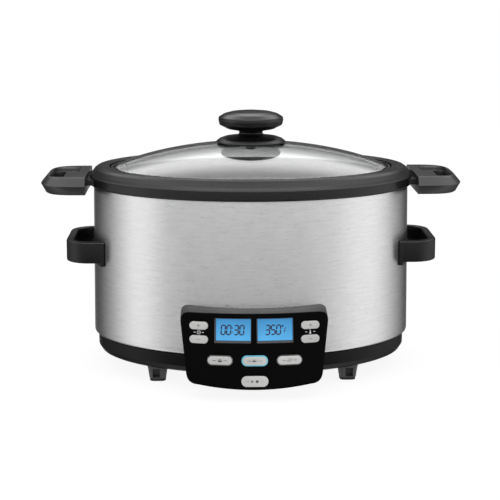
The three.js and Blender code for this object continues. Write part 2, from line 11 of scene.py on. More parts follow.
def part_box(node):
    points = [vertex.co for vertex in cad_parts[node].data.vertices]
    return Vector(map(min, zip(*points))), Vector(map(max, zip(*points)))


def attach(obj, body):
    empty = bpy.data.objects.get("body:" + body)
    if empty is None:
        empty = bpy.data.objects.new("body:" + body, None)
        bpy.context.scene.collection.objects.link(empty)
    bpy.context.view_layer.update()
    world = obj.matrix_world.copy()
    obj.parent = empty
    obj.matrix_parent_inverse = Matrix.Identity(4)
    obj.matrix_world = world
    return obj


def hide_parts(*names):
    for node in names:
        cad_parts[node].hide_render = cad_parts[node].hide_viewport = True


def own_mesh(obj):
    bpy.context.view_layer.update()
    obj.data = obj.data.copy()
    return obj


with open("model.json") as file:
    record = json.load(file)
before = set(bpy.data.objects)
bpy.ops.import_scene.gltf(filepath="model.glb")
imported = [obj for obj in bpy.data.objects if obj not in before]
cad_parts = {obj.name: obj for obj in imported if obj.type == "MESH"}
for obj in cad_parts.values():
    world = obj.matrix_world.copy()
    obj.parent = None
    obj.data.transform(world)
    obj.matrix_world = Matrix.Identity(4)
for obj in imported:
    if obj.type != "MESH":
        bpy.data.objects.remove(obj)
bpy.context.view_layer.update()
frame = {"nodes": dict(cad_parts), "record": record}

MM = 0.001
knob_low, knob_high = (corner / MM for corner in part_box("knob"))
AXIS_Y = (knob_low.y + knob_high.y) / 2  # the pot's axis, where the knob stands


def cad(node):
    """Lowest and highest corner of a CAD node, in millimetres from the pot's axis."""
    low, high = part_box(node)
    shift = Vector((0, AXIS_Y, 0))
    return low / MM - shift, high / MM - shift


# ---------------------------------------------------------------- driving dimensions, millimetres
FLARE = 1.0  # how far the shell spreads from its top to its bottom edge
shell_low, shell_high = cad("housing_shell")
pan_low = cad("base_pan")[0]
glass_high = cad("lid_glass")[1]
face_low, face_high = cad("panel_face")
handle_low, handle_high = cad("base_handle_right")
grip_low, grip_high = cad("pot_grip_right")
OVAL_A = shell_high.x - FLARE
OVAL_B = shell_high.y - FLARE
OVAL_STEPS = 256
CORE = -60  # inside this offset the oval shrinks by scale
NOMINAL = 100
CENTRE = -NOMINAL
SHELL_TOP = shell_high.z
SHELL_BOTTOM = shell_low.z
PAN_FLOOR = pan_low.z
RIM_TOP = 187.7

LIP = 3.6  # pot lip, outside the oval
LIP_TOP = 193.6
LIP_BOTTOM = 184
SEAT_EDGE = -16
SEAT_EDGE_Z = 202.2
SEAT_Z = 196.4
FLANGE_TOP = 202.8

LID_A = glass_high.x
LID_B = glass_high.y
DOME_A = LID_A - 2.1
EDGE_TOP = 200.1
DOME_RISE = glass_high.z - EDGE_TOP
GLASS_THICK = 4
KNOB_HOLE = 4.5
DISC_TOP = 232.3
KNOB_TOP = knob_high.z

PANEL_TOP = face_high.z
PANEL_BOTTOM = face_low.z
PANEL_BULGE = 3.9
PANEL_HALF_TOP = 70.3
PANEL_HALF_BOTTOM = 62.7
PANEL_LEAN = math.tan(math.radians(8))
PANEL_RADIUS = 228
PANEL_FRONT = OVAL_B + 22
CORNER_LIFT = 0.13  # how steeply the housing's top corners rise towards the shell
FACE_THICK = 3
BUTTON_PROUD = 1.3

SIDES = (("left", -1), ("right", 1))

# ---------------------------------------------------------------- camera
CAMERA = Vector((-38.0, -1499.1, 407.5))
CAMERA_DOWN = math.radians(9.18)
CAMERA_TURN = math.radians(-1.453)
LENS = 108.07
SHIFT_X = -0.0017
SHIFT_Y = -0.099


def make_camera():
    data = bpy.data.cameras.new("camera")
    data.lens = LENS
    data.sensor_width = 36
    data.shift_x = SHIFT_X
    data.shift_y = SHIFT_Y
    data.clip_end = 100
    camera = bpy.data.objects.new("camera", data)
    camera.location = (CAMERA + Vector((0, AXIS_Y, 0))) * MM
    camera.rotation_euler = (math.pi / 2 - CAMERA_DOWN, 0, CAMERA_TURN)
    bpy.context.scene.collection.objects.link(camera)
    bpy.context.scene.camera = camera


make_camera()


# ---------------------------------------------------------------- mesh helpers
def build(name, vertices, faces, material, body, stands_for=(), slot=None, sharp=32):
    """A smooth-shaded object from points in millimetres around the pot's axis."""
    mesh = bpy.data.meshes.new(name)
    mesh.from_pydata([(x * MM, (y + AXIS_Y) * MM, z * MM) for x, y, z in vertices], [], faces)
    work = bmesh.new()
    work.from_mesh(mesh)
    bmesh.ops.remove_doubles(work, verts=work.verts, dist=1e-6)
    bmesh.ops.recalc_face_normals(work, faces=work.faces)
    work.to_mesh(mesh)
    work.free()
    mesh.shade_smooth()
    mesh.set_sharp_from_angle(angle=math.radians(sharp))
    mesh.materials.append(material)
    piece = bpy.data.objects.new(name, mesh)
    bpy.context.scene.collection.objects.link(piece)
    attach(piece, body)
    if stands_for:
        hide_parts(*stands_for)
    return piece


def skin(rings, wrap=False):
    """Vertices and faces of a surface through closed rings with equal numbers of points."""
    count = len(rings[0])
    vertices = [point for ring in rings for point in ring]
    faces = []
    pairs = len(rings) if wrap else len(rings) - 1
    for level in range(pairs):
        low = level * count
        high = ((level + 1) % len(rings)) * count
        for i in range(count):
            j = (i + 1) % count
            faces.append((low + i, low + j, high + j, high + i))
    return vertices, faces


def capped(rings):
    """A skin closed by a flat face at each end."""
    vertices, faces = skin(rings)
    count = len(rings[0])
    faces.append(tuple(range(count)))
    faces.append(tuple(range(len(vertices) - count, len(vertices))))
    return vertices, faces


def fillet(corners, steps=5, closed=True):
    """A profile from (a, b, radius) corners, each rounded to its radius."""
    outline = []
    for i, (a, b, radius) in enumerate(corners):
        here = Vector((a, b))
        ends = not closed and i in (0, len(corners) - 1)
        if radius == 0 or ends:
            outline.append((a, b))
            continue
        back = Vector(corners[i - 1][:2]) - here
        ahead = Vector(corners[(i + 1) % len(corners)][:2]) - here
        half = back.angle(ahead) / 2
        reach = min(radius / math.tan(half), 0.49 * back.length, 0.49 * ahead.length)
        start = here + back.normalized() * reach
        end = here + ahead.normalized() * reach
        for k in range(steps + 1):
            t = k / steps
            point = (1 - t) ** 2 * start + 2 * t * (1 - t) * here + t * t * end
            outline.append((point.x, point.y))
    return outline


def oval_point(angle, offset):
    """Point on the housing's oval, moved out by a parallel offset; deep inside, shrunk by scale."""
    clipped = max(offset, CORE)
    normal = Vector((OVAL_B * math.cos(angle), OVAL_A * math.sin(angle))).normalized()
    x = OVAL_A * math.cos(angle) + clipped * normal.x
    y = OVAL_B * math.sin(angle) + clipped * normal.y
    shrink = min(1, (NOMINAL + offset) / (NOMINAL + CORE))
    return x * shrink, y * shrink


def oval_ring(offset, z, steps=OVAL_STEPS):
    return [(*oval_point(2 * math.pi * i / steps, offset), z) for i in range(steps)]


def round_ring(radius, z, steps=96):
    angles = [2 * math.pi * i / steps for i in range(steps)]
    return [(radius * math.cos(a), radius * math.sin(a), z) for a in angles]


def oval_turned(profile, wrap=True):
    """A profile of (offset, z) round the oval. With wrap off, both its ends are at the centre."""
    return skin([oval_ring(offset, z) for offset, z in profile], wrap)


def turned(profile, wrap=True, steps=96):
    return skin([round_ring(radius, z, steps) for radius, z in profile], wrap)


def lid_turned(profile):
    """Radii are along the lid's long axis."""
    rings = [round_ring(radius, z, OVAL_STEPS) for radius, z in profile]
    return skin([[(x, y * LID_B / LID_A, z) for x, y, z in ring] for ring in rings], wrap=True)


def rounded_rectangle(width, height, radius, arc=6):
    """Points of a rounded rectangle round the origin, counter-clockwise."""
    points = []
    for corner, (sx, sy) in enumerate(((1, -1), (1, 1), (-1, 1), (-1, -1))):
        cx = sx * (width / 2 - radius)
        cy = sy * (height / 2 - radius)
        for k in range(arc + 1):
            angle = (corner - 1 + k / arc) * math.pi / 2
            points.append((cx + radius * math.cos(angle), cy + radius * math.sin(angle)))
    return points


# ---------------------------------------------------------------- material helpers
class Finish:
    """A material under construction: its Principled shader and short ways to add nodes."""

    def __init__(self, name, color, roughness, metallic=0.0, **sockets):
        self.material = bpy.data.materials.new(name)
        self.material.use_nodes = True
        self.tree = self.material.node_tree
        self.shader = self.tree.nodes["Principled BSDF"]
        self.shader.inputs["Base Color"].default_value = (*color, 1)
        self.shader.inputs["Roughness"].default_value = roughness
        self.shader.inputs["Metallic"].default_value = metallic
        for socket, value in sockets.items():
            self.shader.inputs[socket.replace("_", " ")].default_value = value
        self.color = color
        self.roughness = roughness

    def add(self, kind, **settings):
        node = self.tree.nodes.new("ShaderNode" + kind)
        for key, value in settings.items():
            setattr(node, key, value)
        return node

    def link(self, source, target):
        self.tree.links.new(source, target)

    def math(self, operation, first, second=None):
        node = self.add("Math", operation=operation)
        for slot_index, value in enumerate((first, second)):
            if value is None:
                continue
            if isinstance(value, (int, float)):
                node.inputs[slot_index].default_value = value
            else:
                self.link(value, node.inputs[slot_index])
        return node.outputs[0]

    def place(self):
        """Object coordinates in metres."""
        return self.add("TexCoord").outputs["Object"]

    def noise(self, scale, detail=3.0, vector=None):
        node = self.add("TexNoise")
        node.inputs["Scale"].default_value = scale
        node.inputs["Detail"].default_value = detail
        self.link(vector or self.place(), node.inputs["Vector"])
        return node.outputs["Fac"]

    def spread(self, value, low, high):
        """A 0 to 1 value spread over low to high."""
        node = self.add("MapRange")
        self.link(value, node.inputs["Value"])
        node.inputs["From Min"].default_value = 0.3
        node.inputs["From Max"].default_value = 0.7
        node.inputs["To Min"].default_value = low
        node.inputs["To Max"].default_value = high
        return node.outputs["Result"]

    def vary_roughness(self, value, amount):
        wide = self.spread(value, self.roughness - amount, self.roughness + amount)
        self.link(wide, self.shader.inputs["Roughness"])

    def vary_color(self, value, amount):
        """Darker and lighter patches of the same colour."""
        mix = self.add("Mix", data_type="RGBA")
        self.link(self.spread(value, 0, 1), mix.inputs["Factor"])
        for socket, share in (("A", 1 - amount), ("B", 1 + amount)):
            tone = [c * share for c in self.color]
            rgba = [i for i in mix.inputs if i.name == socket and i.type == "RGBA"][0]
            rgba.default_value = (*tone, 1)
        result = [o for o in mix.outputs if o.type == "RGBA"][0]
        self.link(result, self.shader.inputs["Base Color"])

    def bump(self, height, strength, distance_mm):
        node = self.add("Bump")
        node.inputs["Strength"].default_value = strength
        node.inputs["Distance"].default_value = distance_mm * MM
        self.link(height, node.inputs["Height"])
        self.link(node.outputs["Normal"], self.shader.inputs["Normal"])


def moulded(name, color, roughness, grain=0.25, grain_scale=1400, **sockets):
    """Moulded plastic: a fine spark-eroded grain, uneven sheen and slight tone changes."""
    finish = Finish(name, color, roughness, **sockets)
    finish.bump(finish.noise(grain_scale, 2.0), grain, 0.05)
    finish.vary_roughness(finish.noise(35, 4.0), 0.05)
    finish.vary_color(finish.noise(22, 3.0), 0.12)
    return finish.material


def around_axis(finish):
    """Angle round the pot's axis (0 at the front), and height, as separate values."""
    split = finish.add("SeparateXYZ")
    finish.link(finish.place(), split.inputs[0])
    back = finish.math("SUBTRACT", AXIS_Y * MM, split.outputs["Y"])
    angle = finish.math("ARCTAN2", split.outputs["X"], back)
    return angle, split.outputs["Z"]


def streaks(finish, along, across, detail):
    """Noise stretched round the housing: long along the brushing, fine across it."""
    angle, height = around_axis(finish)
    join = finish.add("CombineXYZ")
    finish.link(finish.math("MULTIPLY", angle, along), join.inputs["X"])
    finish.link(finish.math("MULTIPLY", height, across), join.inputs["Y"])
    return finish.noise(1.0, detail, join.outputs[0])


def brushed_steel():
    finish = Finish("brushed_steel", (0.6, 0.6, 0.605), 0.3, 1.0, Anisotropic=0.7, Anisotropic_Rotation=0.25)
    tangent = finish.add("Tangent", direction_type="RADIAL", axis="Z")
    finish.link(tangent.outputs[0], finish.shader.inputs["Tangent"])
    fine = streaks(finish, 26, 2600, 3.0)
    broad = streaks(finish, 7, 420, 4.0)
    both = finish.math("ADD", finish.math("MULTIPLY", fine, 0.6), finish.math("MULTIPLY", broad, 0.4))
    finish.vary_color(both, 0.13)
    finish.vary_roughness(both, 0.05)
    finish.bump(fine, 0.06, 0.02)
    return finish.material


def polished_steel(name, color, roughness):
    finish = Finish(name, color, roughness, 1.0)
    finish.vary_roughness(finish.noise(60, 4.0), 0.04)
    finish.vary_color(finish.noise(400, 3.0), 0.03)
    return finish.material


def coated():
    """Dark non-stick coating: satin, with fine specks and a slight orange peel."""
    finish = Finish("pot_coating", (0.009, 0.009, 0.0092), 0.28, Specular_IOR_Level=0.27)
    finish.vary_color(finish.noise(900, 2.0), 0.25)
    finish.vary_roughness(finish.noise(40, 4.0), 0.05)
    finish.bump(finish.noise(650, 3.0), 0.1, 0.03)
    return finish.material


def cast_metal():
    finish = Finish("cast_aluminium", (0.5, 0.5, 0.51), 0.5, 1.0)
    finish.vary_color(finish.noise(120, 5.0), 0.15)
    finish.bump(finish.noise(800, 4.0), 0.3, 0.05)
    return finish.material


def clear_glass():
    """Clear tempered glass with painted shade: its colour turns near-black where it is seen edge-on."""
    clear = (0.97, 0.985, 0.98)
    finish = Finish("lid_glass", clear, 0.0, IOR=1.5, Transmission_Weight=1.0, Coat_Weight=1.0)
    facing = finish.add("LayerWeight")
    facing.inputs["Blend"].default_value = 0.5
    grazing = finish.add("MapRange", interpolation_type="SMOOTHSTEP")
    grazing.inputs["From Min"].default_value = 0.81
    grazing.inputs["From Max"].default_value = 0.84
    finish.link(facing.outputs["Facing"], grazing.inputs["Value"])
    # painted shade: near-black colour along the glass's silhouette, where it is seen edge-on
    edge_shade = finish.add("Mix", data_type="RGBA")
    finish.link(grazing.outputs["Result"], edge_shade.inputs[0])
    edge_shade.inputs[6].default_value = (*clear, 1)
    edge_shade.inputs[7].default_value = (0.03, 0.03, 0.03, 1)
    finish.link(edge_shade.outputs[2], finish.shader.inputs["Base Color"])
    return finish.material


def backlit_display():
    """Blue backlight with a painted shadow: darker towards the top, brighter at the bottom, with the faint
    pixel grid of a liquid crystal.
    """
    finish = Finish("display", (0.01, 0.05, 0.1), 0.25)
    split = finish.add("SeparateXYZ")
    finish.link(finish.place(), split.inputs[0])
    level = finish.add("MapRange")
    finish.link(split.outputs["Z"], level.inputs["Value"])
    level.inputs["From Min"].default_value = 55 * MM
    level.inputs["From Max"].default_value = 77 * MM
    # painted shadow: the colour goes from bright at the bottom of the window to darker at its top
    ramp = finish.add("ValToRGB")
    ramp.color_ramp.elements[0].color = (0.075, 0.39, 0.74, 1)
    ramp.color_ramp.elements[1].color = (0.02, 0.2, 0.45, 1)
    finish.link(level.outputs["Result"], ramp.inputs[0])
    finish.link(ramp.outputs[0], finish.shader.inputs["Emission Color"])
    glow = finish.spread(finish.noise(55, 2.0), 0.92, 1.04)
    finish.link(glow, finish.shader.inputs["Emission Strength"])
    return finish.material


def lit(name, color, strength):
    """A light guide: its glow fades a little from place to place."""
    finish = Finish(name, [c * 0.3 for c in color], 0.4)
    finish.shader.inputs["Emission Color"].default_value = (*color, 1)
    glow = finish.spread(finish.noise(160, 2.0), strength * 0.85, strength * 1.1)
    finish.link(glow, finish.shader.inputs["Emission Strength"])
    return finish.material


STEEL = brushed_steel()
# painted shade: a much darker copy of the plated steel for the lid rim, so it shows only as a thin line
SHADED_RIM_STEEL = polished_steel("lid_rim_steel_shaded", (0.16, 0.16, 0.163), 0.25)
PLATED = polished_steel("plated_steel", (0.68, 0.68, 0.69), 0.25)
CAST = cast_metal()
COATING = coated()
BLACK = moulded("black_plastic", (0.004, 0.004, 0.0042), 0.34, Specular_IOR_Level=0.28)
# painted sheen: a lighter copy of the black plastic for the feet, standing in for their highlights
LIT_FOOT_BLACK = moulded("foot_black_lit", (0.06, 0.06, 0.061), 0.3, grain=0.08, Specular_IOR_Level=0.3)
# painted shade: a darker copy of the black plastic for the pan and its vents, which sit low in shade
SHADED_PAN_BLACK = moulded("pan_black_shaded", (0.0015, 0.0015, 0.0016), 0.24, Specular_IOR_Level=0.14)
KNOB_BLACK = moulded("knob_plastic", (0.006, 0.006, 0.0062), 0.24, grain=0.08, Specular_IOR_Level=0.4)
CHARCOAL = moulded("charcoal_plastic", (0.013, 0.013, 0.0133), 0.34, Specular_IOR_Level=0.4)
BEZEL = moulded("bezel_plastic", (0.018, 0.018, 0.0185), 0.5, grain=0.4, Specular_IOR_Level=0.22)
GLOSS = moulded("gloss_black", (0.0016, 0.0016, 0.0018), 0.12, grain=0.02, Specular_IOR_Level=0.03)
LEDGE = moulded("display_frame", (0.085, 0.072, 0.066), 0.35, grain=0.1, Specular_IOR_Level=0.3)
SILVER = moulded("button_silver", (0.45, 0.45, 0.44), 0.42, grain=0.12)
INK = moulded("print_dark", (0.05, 0.05, 0.052), 0.6, grain=0.1)
PRINT = moulded("print_light", (0.6, 0.6, 0.6), 0.6, grain=0.1)
SEGMENTS = moulded("display_segments", (0.004, 0.014, 0.045), 0.5, grain=0.05)
DISPLAY = backlit_display()
GLOW = lit("button_glow", (0.13, 0.5, 0.64), 0.75)
GUIDE = moulded("unlit_guide", (0.07, 0.07, 0.07), 0.4, grain=0.1)
RUBBER = moulded("rubber", (0.012, 0.012, 0.012), 0.65, grain=0.5, Specular_IOR_Level=0.3)
WOOL = moulded("insulation_wool", (0.62, 0.6, 0.54), 0.95, grain=0.9, grain_scale=500)
BOARD = moulded("circuit_board", (0.02, 0.11, 0.045), 0.45, grain=0.1)
GLASS = clear_glass()

SLOT_FINISH = {
    "brushed_steel": STEEL, "plated_steel": PLATED, "cast_aluminium": CAST, "pot_coating": COATING,
    "black_plastic": BLACK, "charcoal_plastic": CHARCOAL, "bezel_plastic": BEZEL, "gloss_black": GLOSS,
    "button_plastic": SILVER, "display": DISPLAY, "glass": GLASS, "rubber": RUBBER,
    "insulation_wool": WOOL, "circuit_board": BOARD,
}


def dress_cad_nodes():
    """Every CAD node gets its slot's finish; welded and with softened edges where it stays in view."""
    for row in frame["record"]["subparts"]:
        node = frame["nodes"][row["node"]]
        node.data.materials.clear()
        node.data.materials.append(SLOT_FINISH[row["material_slot"]])
        if node.hide_render:
            continue
        weld = node.modifiers.new("weld", "WELD")
        weld.merge_threshold = 0.01 * MM
        soft = node.modifiers.new("soft_edges", "BEVEL")
        soft.limit_method = "ANGLE"
        soft.angle_limit = math.radians(40)
        soft.width = 0.3 * MM
        soft.segments = 2


# ---------------------------------------------------------------- housing
def housing_shell():
    profile = fillet([
        (0, SHELL_TOP, 0.3), (-1.2, SHELL_TOP, 0.3), (-0.2, 44, 6), (-0.5, 37.4, 3),
        (-2.5, SHELL_BOTTOM + 1.2, 0.3), (-2.5, SHELL_BOTTOM, 0.3), (FLARE, SHELL_BOTTOM + 1.4, 3.4),
        (FLARE, 44, 3),
    ])
    build("housing_shell_fine", *oval_turned(profile), STEEL, "base", ["housing_shell"], "brushed_steel")


def shell_seam():
    """The sheet's lapped joint: a shallow upright strip at the middle of the back."""
    half = 4
    rings = []
    for z, rise in ((46, 0), (46.4, 0.35), (180.6, 0.35), (181, 0)):
        base = FLARE * (SHELL_TOP - z) / (SHELL_TOP - SHELL_BOTTOM)
        spots = [(-half, -0.3), (-half + 0.3, rise), (half - 0.3, rise), (half, -0.3)]
        ring = []
        for x, lift in spots:
            sx, sy = oval_point(math.acos(x / OVAL_A), base + lift)
            ring.append((sx, sy, z))
        rings.append(ring)
    build("shell_seam", *capped(rings), STEEL, "base", slot="brushed_steel")


def base_pan():
    profile = fillet([
        (CENTRE, PAN_FLOOR, 0), (-30, PAN_FLOOR, 5), (-10, 14.6, 2), (-6, 16.6, 1.5), (-3, 21.5, 1.2),
        (-2.8, 33.4, 0.5), (-4.4, 33.4, 0.2), (-4.4, 42, 0.5), (-6.6, 42, 0.5), (-6, 24, 2),
        (-10.5, PAN_FLOOR + 3, 3), (CENTRE, PAN_FLOOR + 3, 0),
    ], closed=False)
    whole = oval_turned(profile, wrap=False)
    build("base_pan_fine", *whole, SHADED_PAN_BLACK, "base", ["base_pan"], "black_plastic")


def pan_vents():
    """Raised louvres under the pan, in two banks."""
    length, width, drop = 34, 3, 0.8
    for bank in (-1, 1):
        for row in range(7):
            y = (row - 3) * 8
            rings = []
            for inset, z in ((0, PAN_FLOOR + 0.2), (0, PAN_FLOOR - 0.4), (0.5, PAN_FLOOR - drop)):
                plan = rounded_rectangle(length - 2 * inset, width - 2 * inset, width / 2 - inset - 0.01)
                rings.append([(bank * 34 + x, y + dy, z) for x, dy in plan])
            name = f"pan_vent_{'left' if bank < 0 else 'right'}_{row}"
            build(name, *capped(rings), SHADED_PAN_BLACK, "base", slot="black_plastic")


def housing_rim():
    profile = fillet([
        (-21, 183.3, 0.4), (-3.6, 183.3, 0), (-3.6, 176, 0.4), (-1.6, 176, 0.4), (-1.6, 183.3, 0),
        (0, 183.4, 0.5), (0, RIM_TOP, 1), (-21, RIM_TOP, 1),
    ])
    build("housing_rim_fine", *oval_turned(profile), BLACK, "base", ["housing_rim"], "black_plastic")


def heating_well():
    """Plated liner: flange, wall and floor, with the sensor's round hole in the middle."""
    hole = 16
    inside = fillet([
        (-12, 181.8, 0.3), (-12, 182.9, 0.3), (-24, 182.9, 3), (-24, 52, 6), (-28, 44, 8),
        (-36, 41.2, 6), (-45, 41.2, 0),
    ], closed=False)
    outside = fillet([
        (-45, 40, 0), (-35.6, 40, 6), (-27, 43, 8), (-22.8, 52, 6), (-22.8, 181.8, 1), (-12, 181.8, 0),
    ], closed=False)
    rings = [oval_ring(offset, z) for offset, z in inside]
    rings += [round_ring(hole, 41.2, OVAL_STEPS), round_ring(hole, 40, OVAL_STEPS)]
    rings += [oval_ring(offset, z) for offset, z in outside[:-1]]
    build("heating_well_fine", *skin(rings, wrap=True), PLATED, "base", ["heating_well"], "plated_steel")


def heating_plate():
    """Cast plate with a shallow raised land near its edge."""
    hole = 14
    top = fillet([(-55, 54.6, 0), (-48, 54.6, 0.6), (-47, 55, 0.4), (-35, 55, 1), (-34, 54, 0.8),
                  (-34, 50.4, 1), (-36, 48.8, 1), (-50, 48.8, 0)], closed=False)
    rings = [round_ring(hole, 48.8, OVAL_STEPS), round_ring(hole, 54.3, OVAL_STEPS)]
    rings += [round_ring(hole + 0.5, 54.6, OVAL_STEPS)]
    rings += [oval_ring(offset, z) for offset, z in top]
    build("heating_plate_fine", *skin(rings, wrap=True), CAST, "base", ["heating_plate"], "cast_aluminium")


SPRING_WIRE = 0.6
SPRING_RADIUS = 5.4
SPRING_TURNS = 5


def sensor_spring():
    """Coil between the sensor cap and its guide; it rides with the sensor."""
    low, high = cad("sensor_spring")
    bottom = low.z + SPRING_WIRE
    top = high.z - SPRING_WIRE
    steps = SPRING_TURNS * 32
    rings = []
    for k in range(steps + 1):
        angle = 2 * math.pi * SPRING_TURNS * k / steps
        ring = []
        for turn in range(12):
            around = 2 * math.pi * turn / 12
            radius = SPRING_RADIUS + SPRING_WIRE * math.cos(around)
            z = bottom + (top - bottom) * k / steps + SPRING_WIRE * math.sin(around)
            ring.append((radius * math.cos(angle), radius * math.sin(angle), z))
        rings.append(ring)
    coil = build("sensor_spring_fine", *capped(rings), PLATED, "sensor", ["sensor_spring"], "brushed_steel")
    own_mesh(coil)


FOOT_X = 92.7
FOOT_FRONT = 82
FOOT_DEPTH = 17
FOOT_BOTTOM = 2.9
FOOT_SLOT = 3.3
FOOT_SLOT_SHIFT = 1.4


def foot_outline(half, inset, notch):
    """Rounded plan, front edge towards -Y, with a slot let into that edge by notch."""
    front = -FOOT_DEPTH / 2 + inset
    plan = rounded_rectangle(2 * (half - inset), FOOT_DEPTH - 2 * inset, 2.8 - inset, arc=7)
    plan = [p for p in plan if p[1] > front + 0.001 or abs(p[0]) > FOOT_SLOT + 0.4]
    low, high = FOOT_SLOT_SHIFT - FOOT_SLOT, FOOT_SLOT_SHIFT + FOOT_SLOT
    edge = [(low - 0.25, front), (low, front + notch), (high, front + notch), (high + 0.25, front)]
    gaps = [(plan[k], plan[(k + 1) % len(plan)]) for k in range(len(plan))]
    spot = max(range(len(plan)), key=lambda k: (gaps[k][0][1] + gaps[k][1][1] < 2 * front + 0.01,
                                                abs(gaps[k][1][0] - gaps[k][0][0])))
    if gaps[spot][0][0] > 0:
        edge.reverse()
    return plan[:spot + 1] + edge + plan[spot + 1:]


def foot(name, side, end):
    """Tapered leg with a slot in its outer face, flaring into the pan, on a rubber pad."""
    deep = 9
    levels = [
        (FOOT_BOTTOM, 0.9, 0), (FOOT_BOTTOM + 0.3, 0.35, 0), (FOOT_BOTTOM + 0.9, 0, 0), (3.9, 0, 0),
        (4.2, 0, deep), (12.3, 0, deep), (12.6, 0, 0), (15, 0, 0), (17, 0, 0),
    ]
    rings = []
    for z, inset, notch in levels:
        flare = 1.2 * max(0, (z - 13) / 4) ** 2
        half = 8 + 2.5 * (z - FOOT_BOTTOM) / 17 + flare
        ring = []
        for x, y in foot_outline(half, inset, notch):
            ring.append((side * (FOOT_X + x), end * (FOOT_FRONT - FOOT_DEPTH / 2 - y), z))
        rings.append(ring)
    node = f"foot_{name}"
    build(f"{node}_fine", *capped(rings), LIT_FOOT_BLACK, "base", [node], "black_plastic", sharp=50)
    rings = []
    for z, inset in ((0, 1.2), (0.3, 0.4), (0.9, 0), (2.6, 0), (2.9, 0)):
        plan = rounded_rectangle(15.6 - 2 * inset, 15 - 2 * inset, 4 - inset)
        rings.append([(side * FOOT_X + x, end * 73.5 + y, z) for x, y in plan])
    pad = f"foot_pad_{name}"
    build(f"{pad}_fine", *capped(rings), RUBBER, "base", [pad], "rubber")


housing_shell()
shell_seam()
base_pan()
for end_name, end_sign in (("front", -1), ("rear", 1)):
    for side_name, side_sign in SIDES:
        foot(f"{end_name}_{side_name}", side_sign, end_sign)
pan_vents()
housing_rim()
heating_well()
heating_plate()
sensor_spring()


# ---------------------------------------------------------------- base handles
HANDLE_OUT = handle_high.x
HANDLE_BAR = 7.5
HANDLE_ARM = 44.5
HANDLE_CORNER = 20.25
HANDLE_BOTTOM = handle_low.z + 3.4
HANDLE_TOP = handle_high.z - 0.4
SHELL_CLEAR = 1.1
PLATE_THICK = 4.4


def loop_path():
    """Middle line of the U loop in plan, with its outward normals: (x, y, nx, ny)."""
    outer = HANDLE_OUT - HANDLE_BAR / 2
    start = 141
    straight = outer - HANDLE_CORNER
    path = [(start + (straight - start) * k / 8, -HANDLE_ARM, 0, -1) for k in range(8)]
    for end in (-1, 1):
        cy = end * (HANDLE_ARM - HANDLE_CORNER)
        for k in range(17):
            angle = (k / 16 - (1 if end < 0 else 0)) * math.pi / 2
            nx, ny = math.cos(angle), math.sin(angle)
            path.append((straight + HANDLE_CORNER * nx, cy + HANDLE_CORNER * ny, nx, ny))
    path += [(straight + (start - straight) * k / 8, HANDLE_ARM, 0, 1) for k in range(1, 9)]
    return path


def off_shell(x, y, clear):
    """A point pushed out along X until it clears the shell."""
    share = min(1, abs(y) / (OVAL_B + clear))
    return max(x, (OVAL_A + clear) * math.sqrt(1 - share * share))


def base_handle(name, side):
    height = HANDLE_TOP - HANDLE_BOTTOM
    middle = (HANDLE_TOP + HANDLE_BOTTOM) / 2
    section = rounded_rectangle(HANDLE_BAR, height, 1.5, arc=5)
    rings = []
    for x, y, nx, ny in loop_path():
        ring = []
        for out, up in section:
            px, py = x + out * nx, y + out * ny
            ring.append((side * off_shell(px, py, SHELL_CLEAR), side * py, middle + up))
        rings.append(ring)
    node = f"base_handle_{name}"
    build(f"{node}_loop", *capped(rings), BLACK, "base", [node], "black_plastic", sharp=50)


def handle_plate(name, side):
    """The pad on the shell that the arms grow out of; thickest at its lower edge."""
    tall = handle_high.z - handle_low.z
    middle = (handle_low.z + handle_high.z) / 2
    width = 2 * HANDLE_ARM + HANDLE_BAR + 0.6
    rings = []
    for inset, lift in ((0, SHELL_CLEAR), (0, 2.6), (0.4, 3.5), (1.4, 4.1)):
        ring = []
        for y, z in rounded_rectangle(width - 2 * inset, tall - 2 * inset, 2.2 - inset, arc=8):
            depth = 0.5 - z / tall
            clear = lift + (0.7 * depth if lift > SHELL_CLEAR else 0)
            ring.append((side * off_shell(0, y, clear), side * y, middle + z))
        rings.append(ring)
    inner = []
    for k in range(1, 12):
        scale = 1 - k / 12
        ring = []
        for _, y, z in rings[-1]:
            height = middle + (z - middle) * scale
            ring.append((side * off_shell(0, y * scale, PLATE_THICK), y * scale, height))
        inner.append(ring)
    build(f"handle_plate_{name}", *capped(rings + inner), BLACK, "base", slot="black_plastic", sharp=50)


for side_name, side_sign in SIDES:
    base_handle(side_name, side_sign)
    handle_plate(side_name, side_sign)


# ---------------------------------------------------------------- control panel
def face_y(x, z):
    drum = PANEL_RADIUS - math.sqrt(PANEL_RADIUS ** 2 - x * x)
    return drum - PANEL_FRONT - (PANEL_TOP - z) * PANEL_LEAN


def face_out(x):
    """Outward normal of the face."""
    return Vector((x / math.sqrt(PANEL_RADIUS ** 2 - x * x), -1, PANEL_LEAN)).normalized()


def face_point(x, z, depth):
    """A point under the face: depth goes into the housing."""
    point = Vector((x, face_y(x, z), z)) - face_out(x) * depth
    return tuple(point)


class FacePlace:
    """A flat work plane that touches the face at (x, z): u to the right, v up, w out."""

    def __init__(self, x, z):
        self.origin = Vector((x, face_y(x, z), z))
        self.out = face_out(x)
        self.right = Vector((0, 0, 1)).cross(self.out).normalized()
        self.up = self.out.cross(self.right)

    def at(self, u, v, w):
        return tuple(self.origin + self.right * u + self.up * v + self.out * w)


def panel_half(z):
    share = (z - PANEL_BOTTOM) / (PANEL_TOP - PANEL_BOTTOM)
    return PANEL_HALF_BOTTOM + (PANEL_HALF_TOP - PANEL_HALF_BOTTOM) * share


